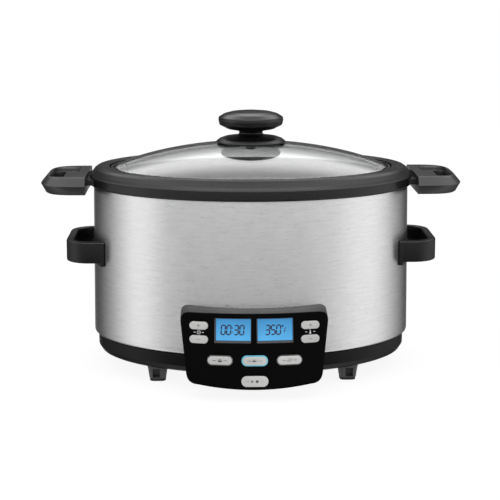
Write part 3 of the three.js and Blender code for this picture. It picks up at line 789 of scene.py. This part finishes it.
def panel_outline(inset, step=3.0):
    """(x, z) points round the panel: tapering sides, round corners and a bulging bottom edge."""
    top = PANEL_TOP - inset
    bottom = PANEL_BOTTOM + inset
    radius = 10 - inset
    corner = bottom + PANEL_BULGE
    half_top = panel_half(top) - inset
    side_top = panel_half(top - radius) - inset
    side_low = panel_half(corner + radius) - inset
    half_low = panel_half(corner) - inset
    stretches = [
        [(half_top - radius, top), (radius - half_top, top)],
        [(radius - half_top, top), (-half_top, top), (-side_top, top - radius)],
        [(-side_top, top - radius), (-side_low, corner + radius)],
        [(-side_low, corner + radius), (-half_low, corner), (radius - half_low, corner)],
        [(radius - half_low, corner), (0, bottom - PANEL_BULGE), (half_low - radius, corner)],
        [(half_low - radius, corner), (half_low, corner), (side_low, corner + radius)],
        [(side_low, corner + radius), (side_top, top - radius)],
        [(side_top, top - radius), (half_top, top), (half_top - radius, top)],
    ]
    outline = []
    for number, stretch in enumerate(stretches):
        first, last = Vector(stretch[0]), Vector(stretch[-1])
        count = (44, 10, 16, 10, 40, 10, 16, 10)[number]
        for k in range(count):
            t = k / count
            if len(stretch) == 2:
                point = first.lerp(last, t)
            else:
                point = first * (1 - t) ** 2 + Vector(stretch[1]) * 2 * t * (1 - t) + last * t * t
            outline.append((point.x, point.y))
    return outline


BUTTONS = {
    "time_up": (-52, 69.4, 17.6, 7.4),
    "time_down": (-52, 56.7, 17.6, 7.4),
    "temp_up": (52, 69.4, 17.6, 7.4),
    "temp_down": (52, 56.7, 17.6, 7.4),
    "slow_cook": (-32.4, 37.9, 24.4, 9.6),
    "brown": (0, 37.8, 24.4, 9.6),
    "steam": (32.4, 37.9, 24.4, 9.6),
    "start_stop": (0, 18.9, 25.2, 10),
}
RINGED = ("slow_cook", "brown", "steam")  # these sit inside a light guide
GUIDE_WIDTH = 0.9
WINDOW_X = 19.7
WINDOW_SHIFT = -0.8
WINDOW_Z = 65.4
WINDOW_WIDTH = 34.8
WINDOW_HEIGHT = 23.4


def pill(width, height, inset=0.0, arc=10):
    return rounded_rectangle(width - 2 * inset, height - 2 * inset, height / 2 - inset - 0.01, arc)


def hole_outline(x, z, shape):
    """A hole's (u, v) outline as (x, z) points of the face."""
    place = FacePlace(x, z)
    points = [place.at(u, v, 0) for u, v in shape]
    return [(px, pz) for px, _, pz in points]


def face_loops(inset):
    """The face's outline and its holes, all drawn back from their edges by inset."""
    loops = [panel_outline(inset)]
    for x, z, width, height in BUTTONS.values():
        loops.append(hole_outline(x, z, pill(width + 0.6, height + 0.6, -inset)))
    for _, side in SIDES:
        shape = rounded_rectangle(WINDOW_WIDTH + 2 * inset, WINDOW_HEIGHT + 2 * inset, 1 + inset)
        loops.append(hole_outline(side * WINDOW_X + WINDOW_SHIFT, WINDOW_Z, shape))
    return loops


def fill_loops(work, loops):
    """Closed loops of (x, depth, z) points, the first with the others as holes in it, filled flat."""
    edges = []
    for loop in loops:
        corners = [work.verts.new(point) for point in loop]
        edges += [work.edges.new((a, b)) for a, b in zip(corners, corners[1:] + corners[:1])]
    bmesh.ops.triangle_fill(work, use_beauty=True, use_dissolve=False, edges=edges)


def panel_face():
    """The face is worked out flat, with a rounded edge round its rim and every hole, then bent."""
    edge = 0.5
    work = bmesh.new()
    fill_loops(work, [[(x, 0, z) for x, z in loop] for loop in face_loops(edge)])
    for k in range(-22, 23):
        everything = work.verts[:] + work.edges[:] + work.faces[:]
        bmesh.ops.bisect_plane(work, geom=everything, plane_co=(k * 3 + 0.01, 0, 0), plane_no=(1, 0, 0))
    rim = [e for e in work.edges if e.is_boundary]
    outward = {}
    for e in rim:
        a, b = e.verts
        along = (b.co - a.co).normalized()
        side = Vector((along.z, 0, -along.x))
        middle = (a.co + b.co) / 2
        if side.dot(e.link_faces[0].calc_center_median() - middle) > 0:
            side.negate()
        for v in (a, b):
            outward[v] = outward.get(v, Vector()) + side
    outward = {v: direction.normalized() for v, direction in outward.items()}
    for reach, depth in ((0.25, 0.07), (0.18, 0.2), (0.07, edge), (0, FACE_THICK)):
        made = bmesh.ops.extrude_edge_only(work, edges=rim)["geom"]
        new_rim = [g for g in made if isinstance(g, bmesh.types.BMEdge) and g.is_boundary]
        new_verts = {v for e in new_rim for v in e.verts}
        linked = {}
        for v in new_verts:
            old = next(e.other_vert(v) for e in v.link_edges if e.other_vert(v) in outward)
            linked[v] = outward[old]
        for v, direction in linked.items():
            v.co += direction * reach
            v.co.y = depth
        outward = linked
        rim = new_rim
    bmesh.ops.triangle_fill(work, use_beauty=True, use_dissolve=False, edges=rim)
    work.verts.index_update()
    vertices = [face_point(v.co.x, v.co.z, v.co.y) for v in work.verts]
    faces = [tuple(v.index for v in f.verts) for f in work.faces]
    work.free()
    build("panel_face_fine", vertices, faces, GLOSS, "base", ["panel_face"], "gloss_black", sharp=40)


def panel_housing():
    """Rounded surround that runs from the face back to the shell."""
    wall = 1.6
    front = FACE_THICK + 0.3

    def back_y(x):
        clear = 1.4
        return -(OVAL_B + clear) * math.sqrt(1 - (x / (OVAL_A + clear)) ** 2)

    rings = []
    for inset, depth in ((wall, front), (0.9, front), (0.25, front + 0.25), (0, front + 0.9)):
        rings.append([face_point(x, z, depth) for x, z in panel_outline(inset)])
    for share, inset in ((0.3, 0), (0.6, 0), (1, 0), (1, wall)):
        ring = []
        for x, z in panel_outline(inset):
            start = face_point(x, z, front + 0.9)
            run = (back_y(x) - start[1]) * share
            high = (z - PANEL_BOTTOM) / (PANEL_TOP - PANEL_BOTTOM)
            lift = CORNER_LIFT * (x / PANEL_HALF_TOP) ** 2 * run * high
            ring.append((x, start[1] + run, z + lift))
        rings.append(ring)
    whole = skin(rings, wrap=True)
    build("panel_housing_fine", *whole, BEZEL, "base", ["panel_housing"], "bezel_plastic", sharp=40)


def panel_button(name, x, z, width, height):
    place = FacePlace(x, z)
    shrink = GUIDE_WIDTH if name in RINGED else 0
    levels = [
        (-0.6, -5.3), (-0.6, -4.2), (shrink, -4.2), (shrink, 0.75), (shrink + 0.12, 0.98),
        (shrink + 0.4, 1.12), (shrink + 1.1, 1.22), (shrink + 2.4, BUTTON_PROUD),
    ]
    rings = [[place.at(u, v, w) for u, v in pill(width, height, inset)] for inset, w in levels]
    node = f"button_{name}"
    build(f"{node}_key", *capped(rings), SILVER, node, [node], "button_plastic", sharp=50)


def light_guide(name, x, z, width, height, finish):
    place = FacePlace(x, z)
    inner = GUIDE_WIDTH - 0.12
    levels = [(0, -3.6), (0, 0.5), (0.2, 0.75), (inner - 0.15, 0.75), (inner, 0.6), (inner, -3.6)]
    rings = [[place.at(u, v, w) for u, v in pill(width, height, inset)] for inset, w in levels]
    build(f"light_guide_{name}", *skin(rings, wrap=True), finish, "base", slot="button_plastic")


panel_housing()
panel_face()
for key_name, (key_x, key_z, key_width, key_height) in BUTTONS.items():
    panel_button(key_name, key_x, key_z, key_width, key_height)
    if key_name in RINGED:
        guide_finish = GLOW if key_name == "brown" else GUIDE
        light_guide(key_name, key_x, key_z, key_width, key_height, guide_finish)


# ---------------------------------------------------------------- displays and symbols
def plates(name, place, outlines, low, high, material, body, slot_name):
    """Thin raised plates on a work plane, one for each closed (u, v) outline."""
    vertices = []
    faces = []
    for outline in outlines:
        start = len(vertices)
        count = len(outline)
        vertices += [place.at(u, v, low) for u, v in outline]
        vertices += [place.at(u, v, high) for u, v in outline]
        faces.append(tuple(start + k for k in range(count)))
        faces.append(tuple(start + count + k for k in reversed(range(count))))
        for k in range(count):
            n = (k + 1) % count
            faces.append((start + k, start + n, start + count + n, start + count + k))
    build(name, vertices, faces, material, body, slot=slot_name, sharp=30)


def bar(u, v, width, height):
    corner = min(width, height) * 0.3
    return [(u + a, v + b) for a, b in rounded_rectangle(width, height, corner, arc=3)]


def arc_strip(u, v, radius, width, start=0, end=360, steps=24):
    """Part of a ring as one closed outline; a full ring is left open by a hair."""
    angles = [math.radians(start + (end - start) * k / steps) for k in range(steps + 1)]
    angles[-1] -= 0.001
    outer = [(u + (radius + width / 2) * math.cos(a), v + (radius + width / 2) * math.sin(a)) for a in angles]
    inner = [(u + (radius - width / 2) * math.cos(a), v + (radius - width / 2) * math.sin(a)) for a in angles]
    return outer + inner[::-1]


def display_frame(name, side):
    """Surround of a display; below and beside the display it slopes in as a ledge."""
    place = FacePlace(side * WINDOW_X + WINDOW_SHIFT, WINDOW_Z)
    inner = (32.5, 20.4, 0.525, 0.75)
    outer = [(WINDOW_WIDTH - less, WINDOW_HEIGHT - low_less, 0, 0)
             for less, low_less in ((0.6, 0.6), (0.9, 0.9), (1.2, 1.3))]
    rings = []
    for (width, height, across, lift), w, radius in (
        (outer[0], -4, 0.8), (outer[0], -0.4, 0.8), (outer[1], -0.2, 0.7), (outer[2], -0.35, 0.6),
        (inner, -3.6, 0.5), (inner, -4, 0.5),
    ):
        shape = rounded_rectangle(width, height, radius)
        rings.append([place.at(u + across, v + lift, w) for u, v in shape])
    node = f"display_frame_{name}"
    build(f"{node}_fine", *skin(rings, wrap=True), LEDGE, "base", [node], "bezel_plastic")


DIGIT_WIDTH = 3.7
DIGIT_HEIGHT = 8.6
DIGIT_LINE = 1.3
SLANT = 0.07
DIGIT_SEGMENTS = {"0": "abcdef", "3": "abcdg", "5": "acdfg", "F": "aefg"}


def digit(character, u, v, width=DIGIT_WIDTH, height=DIGIT_HEIGHT, line=DIGIT_LINE):
    """Seven-segment figure centred at (u, v)."""
    half, tall = width / 2, height / 2
    across = {"a": tall, "g": 0, "d": -tall}
    upright = {"f": (-half, 1), "b": (half, 1), "e": (-half, -1), "c": (half, -1)}
    outlines = []
    for segment in DIGIT_SEGMENTS[character]:
        point, thick = line * 0.45, line / 2
        if segment in across:
            y = across[segment]
            reach = half - 0.12
            shape = [(-reach, y), (-reach + point, y + thick), (reach - point, y + thick), (reach, y),
                     (reach - point, y - thick), (-reach + point, y - thick)]
        else:
            x, sign = upright[segment]
            low, high = sorted((sign * 0.12, sign * (tall - 0.12)))
            shape = [(x, low), (x + thick, low + point), (x + thick, high - point), (x, high),
                     (x - thick, high - point), (x - thick, low + point)]
        outlines.append([(u + x + SLANT * y, v + y) for x, y in shape])
    return outlines


LCD_DEPTH = -4.3


def display_figures():
    time = FacePlace(-WINDOW_X, WINDOW_Z)
    outlines = []
    for character, u in (("0", -9.9), ("0", -4.7), ("3", 2.3), ("0", 7.5)):
        outlines += digit(character, u, 0.4)
    outlines += [bar(-1.2, 2.2, 1, 1), bar(-1.4, -1.6, 1, 1)]
    plates("display_figures_left", time, outlines, LCD_DEPTH, LCD_DEPTH + 0.08,
           SEGMENTS, "base", "display")
    temperature = FacePlace(WINDOW_X, WINDOW_Z)
    outlines = []
    for character, u in (("3", -7.1), ("5", -2), ("0", 3.1)):
        outlines += digit(character, u, 0.4)
    outlines.append(arc_strip(7, 3.9, 0.7, 0.4))
    outlines += digit("F", 9.6, -0.3, 1.9, 4.4, 0.6)
    plates("display_figures_right", temperature, outlines, LCD_DEPTH, LCD_DEPTH + 0.08,
           SEGMENTS, "base", "display")


def flanked(symbol, reach=5.2, length=3.4):
    """A symbol between two short strokes."""
    return symbol + [bar(side * reach, 0, length, 0.55) for side in (-1, 1)]


MINUS = [bar(0, 0, 2.4, 0.6)]
PLUS = MINUS + [bar(0, 0.85, 0.6, 1.1), bar(0, -0.85, 0.6, 1.1)]
POT = [bar(0, -0.75, 3.6, 1.7), bar(0, 0.6, 4.4, 0.45), bar(0, 1.3, 1.1, 0.5)]
PAN = [bar(-0.7, -0.2, 3.6, 1.2), bar(2.1, 0.1, 2, 0.45), bar(-0.7, 1.1, 2.2, 0.4)]
STEAM = [arc_strip(u, half * 0.75, 0.75, 0.42, start, start + 180, 10)
         for u in (-1.4, 0, 1.4) for half, start in ((1, -90), (-1, 90))]
START_STOP = [[(-3.4, 1.5), (-3.4, -1.5), (-0.9, 0)], bar(2.1, 0, 2.6, 2.6)]
CLOCK = [arc_strip(0, 0, 1.6, 0.45), bar(0, 0.5, 0.4, 1.2), bar(0.45, 0, 1, 0.4)]
BULB = [(0.95 * math.cos(k * math.pi / 8), -1.1 + 0.95 * math.sin(k * math.pi / 8)) for k in range(16)]
THERMOMETER = [BULB, bar(0, 0.7, 0.8, 2.4)]


def panel_symbols():
    symbols = {
        "time_up": PLUS, "time_down": MINUS, "temp_up": PLUS, "temp_down": MINUS, "slow_cook": flanked(POT),
        "brown": flanked(PAN), "steam": flanked(STEAM), "start_stop": flanked(START_STOP, 6.6, 2.8),
    }
    for name, outlines in symbols.items():
        x, z = BUTTONS[name][:2]
        plates(f"symbol_{name}", FacePlace(x, z), outlines, BUTTON_PROUD - 0.3, BUTTON_PROUD,
               INK, f"button_{name}", "button_plastic")
    for name, x, outlines in (("clock", -52, CLOCK), ("thermometer", 52, THERMOMETER)):
        plates(f"symbol_{name}", FacePlace(x, 63.1), flanked(outlines, 3.9, 2), -0.05, 0.04,
               PRINT, "base", "button_plastic")


for side_name, side_sign in SIDES:
    display_frame(side_name, side_sign)
display_figures()
panel_symbols()


# ---------------------------------------------------------------- pot
def cooking_pot():
    profile = fillet([
        (CENTRE, 55.5, 0), (-40, 55.5, 4), (-31.5, 57.4, 4), (-27.6, 64, 5), (-26.6, 76, 5),
        (-26, 184, 2), (-24, RIM_TOP + 0.5, 1), (LIP - 3, RIM_TOP + 0.5, 1), (LIP - 2.8, LIP_BOTTOM, 0.5),
        (LIP - 0.5, LIP_BOTTOM, 0.8), (LIP, LIP_BOTTOM + 1, 0.8), (LIP, LIP_TOP - 0.7, 0.8),
        (LIP - 0.7, LIP_TOP, 0.5), (1.6, 195.9, 1.5), (-1.2, 199.9, 3), (-4, 201.8, 1.2),
        (-9.4, FLANGE_TOP, 4), (SEAT_EDGE - 0.2, SEAT_EDGE_Z - 0.1, 0.8),
        (SEAT_EDGE - 0.6, SEAT_Z, 0.8),
        (-23, SEAT_Z - 0.4, 2), (-27, 193.4, 2), (-29, 188, 4), (-29.6, 76, 8), (-30.8, 66, 5),
        (-34, 61, 4), (-41, 59, 4), (CENTRE, 59, 0),
    ], closed=False)
    whole = oval_turned(profile, wrap=False)
    build("cooking_pot_fine", *whole, COATING, "pot", ["cooking_pot"], "pot_coating")


GRIP_ROOT = 165
GRIP_REACH = grip_high.x - GRIP_ROOT
GRIP_HALF = 52
GRIP_POWER = 3.6
SLOT_X = 193.5


def grip_plan(inset, steps=72):
    """Half a superellipse closed by a straight root, at an inset from the widest outline."""
    root = GRIP_ROOT - 1.6
    half = GRIP_HALF - inset
    plan = [(root, half * (2 * k / 24 - 1) * -1) for k in range(25)]
    for k in range(1, steps):
        angle = math.pi * (k / steps - 0.5)
        cosine, sine = math.cos(angle), math.sin(angle)
        x = GRIP_ROOT + (GRIP_REACH - inset) * abs(cosine) ** (2 / GRIP_POWER)
        y = half * math.copysign(abs(sine) ** (2 / GRIP_POWER), sine)
        plan.append((x, y))
    return plan


def seen_from_slot(plan, outline):
    """For each point of the plan, the outline's point in the same direction from the slot's middle."""
    middle = Vector((SLOT_X, 0))
    found = []
    for x, y in plan:
        ray = Vector((x, y)) - middle
        best = None
        for (ax, ay), (bx, by) in zip(outline, outline[1:] + outline[:1]):
            a, edge = Vector((ax, ay)) - middle, Vector((bx - ax, by - ay))
            across = ray.x * edge.y - ray.y * edge.x
            if abs(across) < 1e-9:
                continue
            reach = (a.x * edge.y - a.y * edge.x) / across
            share = (a.x * ray.y - a.y * ray.x) / across
            if reach > 0 and -1e-6 <= share <= 1 + 1e-6 and (best is None or reach < best):
                best = reach
        found.append(tuple(middle + ray * best))
    return found


def placed_rectangle(x, width, depth, radius):
    return [(x + dx, dy) for dx, dy in rounded_rectangle(width, depth, radius, arc=8)]


def pot_grip(name, side):
    top = grip_high.z
    bottom = grip_low.z
    widest = grip_plan(0)
    outside = [
        (bottom, 6.6), (bottom + 0.25, 5.6), (bottom + 1.2, 4.2), (186.9, 0.34), (187.5, 0.05),
        (188.1, 0.5), (top - 1.4, 5.4), (top - 0.4, 6.2), (top, 7.3),
    ]
    rings = [[(x, y, z) for x, y in grip_plan(inset)] for z, inset in outside]
    recess = top - 3.6
    hollow = [
        (placed_rectangle(186.3, 27, 71, 9.4), top), (placed_rectangle(186.3, 26.2, 70.2, 9), top - 0.5),
        (placed_rectangle(186.4, 25.2, 69.2, 8.5), recess),
        (placed_rectangle(SLOT_X, 12, 55, 5), recess - 0.2),
        (placed_rectangle(SLOT_X, 11.6, 54.6, 5), recess - 0.9),
        (placed_rectangle(SLOT_X, 11.6, 54.6, 5), bottom + 0.6),
        (placed_rectangle(SLOT_X, 12.4, 55.4, 5.4), bottom),
    ]
    for outline, z in hollow:
        rings.append([(x, y, z) for x, y in seen_from_slot(widest, outline)])
    turned_rings = [[(side * x, side * y, z) for x, y, z in ring] for ring in rings]
    node = f"pot_grip_{name}"
    whole = skin(turned_rings, wrap=True)
    build(f"{node}_fine", *whole, CHARCOAL, "pot", [node], "charcoal_plastic", sharp=50)


cooking_pot()
for side_name, side_sign in SIDES:
    pot_grip(side_name, side_sign)


# ---------------------------------------------------------------- lid
def dome_z(radius):
    share = min(radius / DOME_A, 1)
    return EDGE_TOP + DOME_RISE * (1 - share ** 1.9) ** 0.8


def dome_inside(radius):
    """The inner surface's point under the outer surface's point at this radius."""
    step = 0.05
    slope = (dome_z(radius + step) - dome_z(radius - step)) / (2 * step)
    normal = Vector((-slope, 1)).normalized()
    return radius - GLASS_THICK * normal.x, dome_z(radius) - GLASS_THICK * normal.y


def lid_glass():
    steps = 96
    reach = DOME_A - 0.15 - KNOB_HOLE
    radii = [KNOB_HOLE + reach * math.sin(k / steps * math.pi / 2) for k in range(steps + 1)]
    upper = [(r, dome_z(r)) for r in radii]
    lower = [(r, z) for r, z in map(dome_inside, radii) if z > EDGE_TOP - 2.3]
    edge = [
        (LID_A - 0.5, EDGE_TOP), (LID_A, EDGE_TOP - 0.5), (LID_A, EDGE_TOP - 1.9),
        (LID_A - 0.5, EDGE_TOP - 2.4),
    ]
    profile = upper + edge + lower[::-1]
    build("lid_glass_fine", *lid_turned(profile), GLASS, "lid", ["lid_glass"], "glass", sharp=60)


def lid_rim():
    top, bottom, inner = EDGE_TOP + 0.3, EDGE_TOP - 2.7, DOME_A + 0.7
    profile = fillet([
        (LID_A + 0.3, top, 0), (inner, top, 0.1), (inner, top + 0.6, 0.3), (LID_A + 0.9, top + 0.6, 0.6),
        (LID_A + 0.9, bottom - 0.6, 0.6), (inner, bottom - 0.6, 0.2), (inner, bottom, 0.1),
        (LID_A + 0.3, bottom, 0),
    ])
    build("lid_rim_fine", *lid_turned(profile), SHADED_RIM_STEEL, "lid", ["lid_rim"], "plated_steel")


def knob_base():
    apex = EDGE_TOP + DOME_RISE
    profile = fillet([
        (2.4, apex + 0.4, 0), (10, apex + 0.4, 1), (33.6, 225, 0.4), (34.7, 225.1, 0.3), (34.7, 226, 0.5),
        (31.6, 228.6, 3), (27, 230.3, 3), (12, DISC_TOP, 0.5), (2.4, DISC_TOP, 0),
    ])
    build("knob_base_fine", *turned(profile, steps=128), BLACK, "lid", ["knob_base"], "black_plastic")


def knob():
    profile = fillet([
        (0, KNOB_TOP - 8.6, 0), (2.4, KNOB_TOP - 8.6, 0), (2.4, DISC_TOP + 0.3, 0),
        (13, DISC_TOP + 0.3, 0.6), (11.5, 234.2, 2.4), (12.2, 236.2, 2), (14.4, 236.9, 2), (23.8, 238.7, 6),
        (31.7, 242.8, 2.5), (32.6, 247.3, 2.5), (32.3, 250.3, 1.2), (27, 253.6, 6), (20, 255.5, 7),
        (10, 256.6, 8), (0, KNOB_TOP, 0),
    ], closed=False)
    whole = turned(profile, wrap=False, steps=128)
    build("knob_fine", *whole, KNOB_BLACK, "lid", ["knob"], "black_plastic")


lid_glass()
lid_rim()
knob_base()
knob()
dress_cad_nodes()


# ---------------------------------------------------------------- stage and light
def make_floor():
    size = 40
    mesh = bpy.data.meshes.new("floor")
    corners = [(-size, -size, 0), (size, -size, 0), (size, size, 0), (-size, size, 0)]
    mesh.from_pydata(corners, [], [(0, 1, 2, 3)])
    finish = Finish("floor_white", (0.12, 0.12, 0.12), 0.9, Specular_IOR_Level=0.0)
    finish.vary_color(finish.noise(0.7, 1.0), 0.004)
    finish.shader.inputs["Emission Color"].default_value = (1, 1, 1, 1)
    finish.shader.inputs["Emission Strength"].default_value = 0.9
    mesh.materials.append(finish.material)
    floor = bpy.data.objects.new("floor", mesh)
    floor.visible_glossy = False
    bpy.context.scene.collection.objects.link(floor)


# The studio as it shows in reflections. By direction in degrees from the front (right is positive),
# by height from straight down (-1) to straight up (1), a dimmer low front, a low and a high panel
# behind, a bright ceiling and a soft box high in front.
LEVEL_TOP = 1.5
TURN_LEVELS = [
    (-180, 0.1), (-150, 0.08), (-132, 0.15), (-121, 0.32), (-107, 0.58), (-93, 1.0), (-80, 1.4),
    (-68, 1.36), (-50, 0.86), (-30, 0.84), (-14, 0.84), (0, 0.83), (16, 0.84), (30, 0.92), (50, 1.05),
    (64, 1.3), (83, 1.4), (96, 1.15), (112, 0.7), (126, 0.4), (140, 0.15), (155, 0.08), (180, 0.1),
]
RISE_LEVELS = [(-1, 1.1), (-0.6, 0.9), (-0.4, 0.8), (-0.12, 1), (0.3, 1), (0.7, 1.2), (1, 1.3)]
FRONT_EDGE = (math.radians(28), math.radians(68))
FRONT_FALL = (-0.34, -0.1)
FRONT_DIP = 0.7
REAR_EDGE = (math.radians(152), math.radians(176))
REAR_TOP = (-0.14, -0.04)
REAR_LEVEL = 0.6
CEILING_EDGE = (0.3, 0.8)
CEILING_LEVEL = 1.4
BOX_RISE = (0.45, 0.58)
BOX_FALL = (0.7, 0.82)
BOX_LEVEL = 4.5
BACK_EDGE = (math.radians(100), math.radians(140))
BACK_RISE = (0.46, 0.62)
BACK_FALL = (0.72, 0.94)
BACK_LEVEL = 1.3


def ramp(tree, value, span, start, levels):
    """A colour ramp through (position, level) pairs, scaled so that LEVEL_TOP is white."""
    node = tree.nodes.new("ShaderNodeValToRGB")
    elements = node.color_ramp.elements
    while len(elements) > 1:
        elements.remove(elements[-1])
    for index, (position, level) in enumerate(levels):
        share = (position - start) / span
        element = elements[0] if index == 0 else elements.new(share)
        element.position = share
        element.color = (*[level / LEVEL_TOP] * 3, 1)
    tree.links.new(value, node.inputs[0])
    return node.outputs[0]


def make_world():
    """Even light, with the studio's side panels and dark corners showing only in reflections."""
    world = bpy.data.worlds.new("studio")
    bpy.context.scene.world = world
    world.use_nodes = True
    tree = world.node_tree
    background = tree.nodes["Background"]

    def math_node(operation, *values):
        node = tree.nodes.new("ShaderNodeMath")
        node.operation = operation
        for socket, value in zip(node.inputs, values):
            if isinstance(value, (int, float)):
                socket.default_value = value
            else:
                tree.links.new(value, socket)
        return node.outputs[0]

    def smooth(value, start, end):
        """0 at start, 1 at end, eased between."""
        node = tree.nodes.new("ShaderNodeMapRange")
        node.interpolation_type = "SMOOTHSTEP"
        node.inputs["From Min"].default_value = start
        node.inputs["From Max"].default_value = end
        tree.links.new(value, node.inputs["Value"])
        return node.outputs["Result"]

    def times(*values):
        return functools.reduce(lambda a, b: math_node("MULTIPLY", a, b), values)

    def plus(*values):
        return functools.reduce(lambda a, b: math_node("ADD", a, b), values)

    def without(value):
        return math_node("SUBTRACT", 1, value)

    def band(rise_edge, fall_edge):
        """1 between two heights, eased to 0 outside them."""
        return times(smooth(height, *rise_edge), without(smooth(height, *fall_edge)))

    place = tree.nodes.new("ShaderNodeTexCoord")
    split = tree.nodes.new("ShaderNodeSeparateXYZ")
    tree.links.new(place.outputs["Generated"], split.inputs[0])
    height = split.outputs["Z"]

    angle = math_node("ARCTAN2", split.outputs["X"], times(split.outputs["Y"], -1))
    off_front = math_node("ABSOLUTE", angle)
    around = plus(math_node("DIVIDE", angle, 2 * math.pi), 0.5)
    turn = ramp(tree, around, 360, -180, TURN_LEVELS)
    rise = ramp(tree, plus(times(height, 0.5), 0.5), 2, -1, RISE_LEVELS)
    front = without(smooth(off_front, *FRONT_EDGE))
    dip = without(times(front, without(smooth(height, *FRONT_FALL)), FRONT_DIP))
    studio = times(turn, rise, LEVEL_TOP ** 2, dip)
    ceiling = times(smooth(height, *CEILING_EDGE), CEILING_LEVEL)
    box = times(band(BOX_RISE, BOX_FALL), front, BOX_LEVEL)
    behind = times(band(BACK_RISE, BACK_FALL), smooth(off_front, *BACK_EDGE), BACK_LEVEL)
    rear = times(smooth(off_front, *REAR_EDGE), without(smooth(height, *REAR_TOP)), REAR_LEVEL)
    reflected = plus(studio, ceiling, box, behind, rear)
    path = tree.nodes.new("ShaderNodeLightPath")
    plain = without(path.outputs["Is Glossy Ray"])
    plain = math_node("MAXIMUM", plain, path.outputs["Is Transmission Ray"])
    choose = tree.nodes.new("ShaderNodeMix")
    tree.links.new(plain, choose.inputs["Factor"])
    tree.links.new(reflected, choose.inputs["A"])
    choose.inputs["B"].default_value = 1.0
    tree.links.new(choose.outputs[0], background.inputs["Strength"])
    background.inputs["Color"].default_value = (1, 1, 1, 1)


def area_light(name, place, aim, size, watts):
    data = bpy.data.lights.new(name, "AREA")
    data.shape = "RECTANGLE"
    data.size, data.size_y = size
    data.energy = watts
    light = bpy.data.objects.new(name, data)
    light.visible_glossy = False
    light.location = place
    direction = Vector(aim) - Vector(place)
    light.rotation_euler = direction.to_track_quat("-Z", "Y").to_euler()
    bpy.context.scene.collection.objects.link(light)


make_floor()
make_world()
area_light("top_soft", (0, -0.2, 1.8), (0, 0, 0), (2.4, 1.8), 8)
bpy.context.scene.view_settings.view_transform = "Standard"
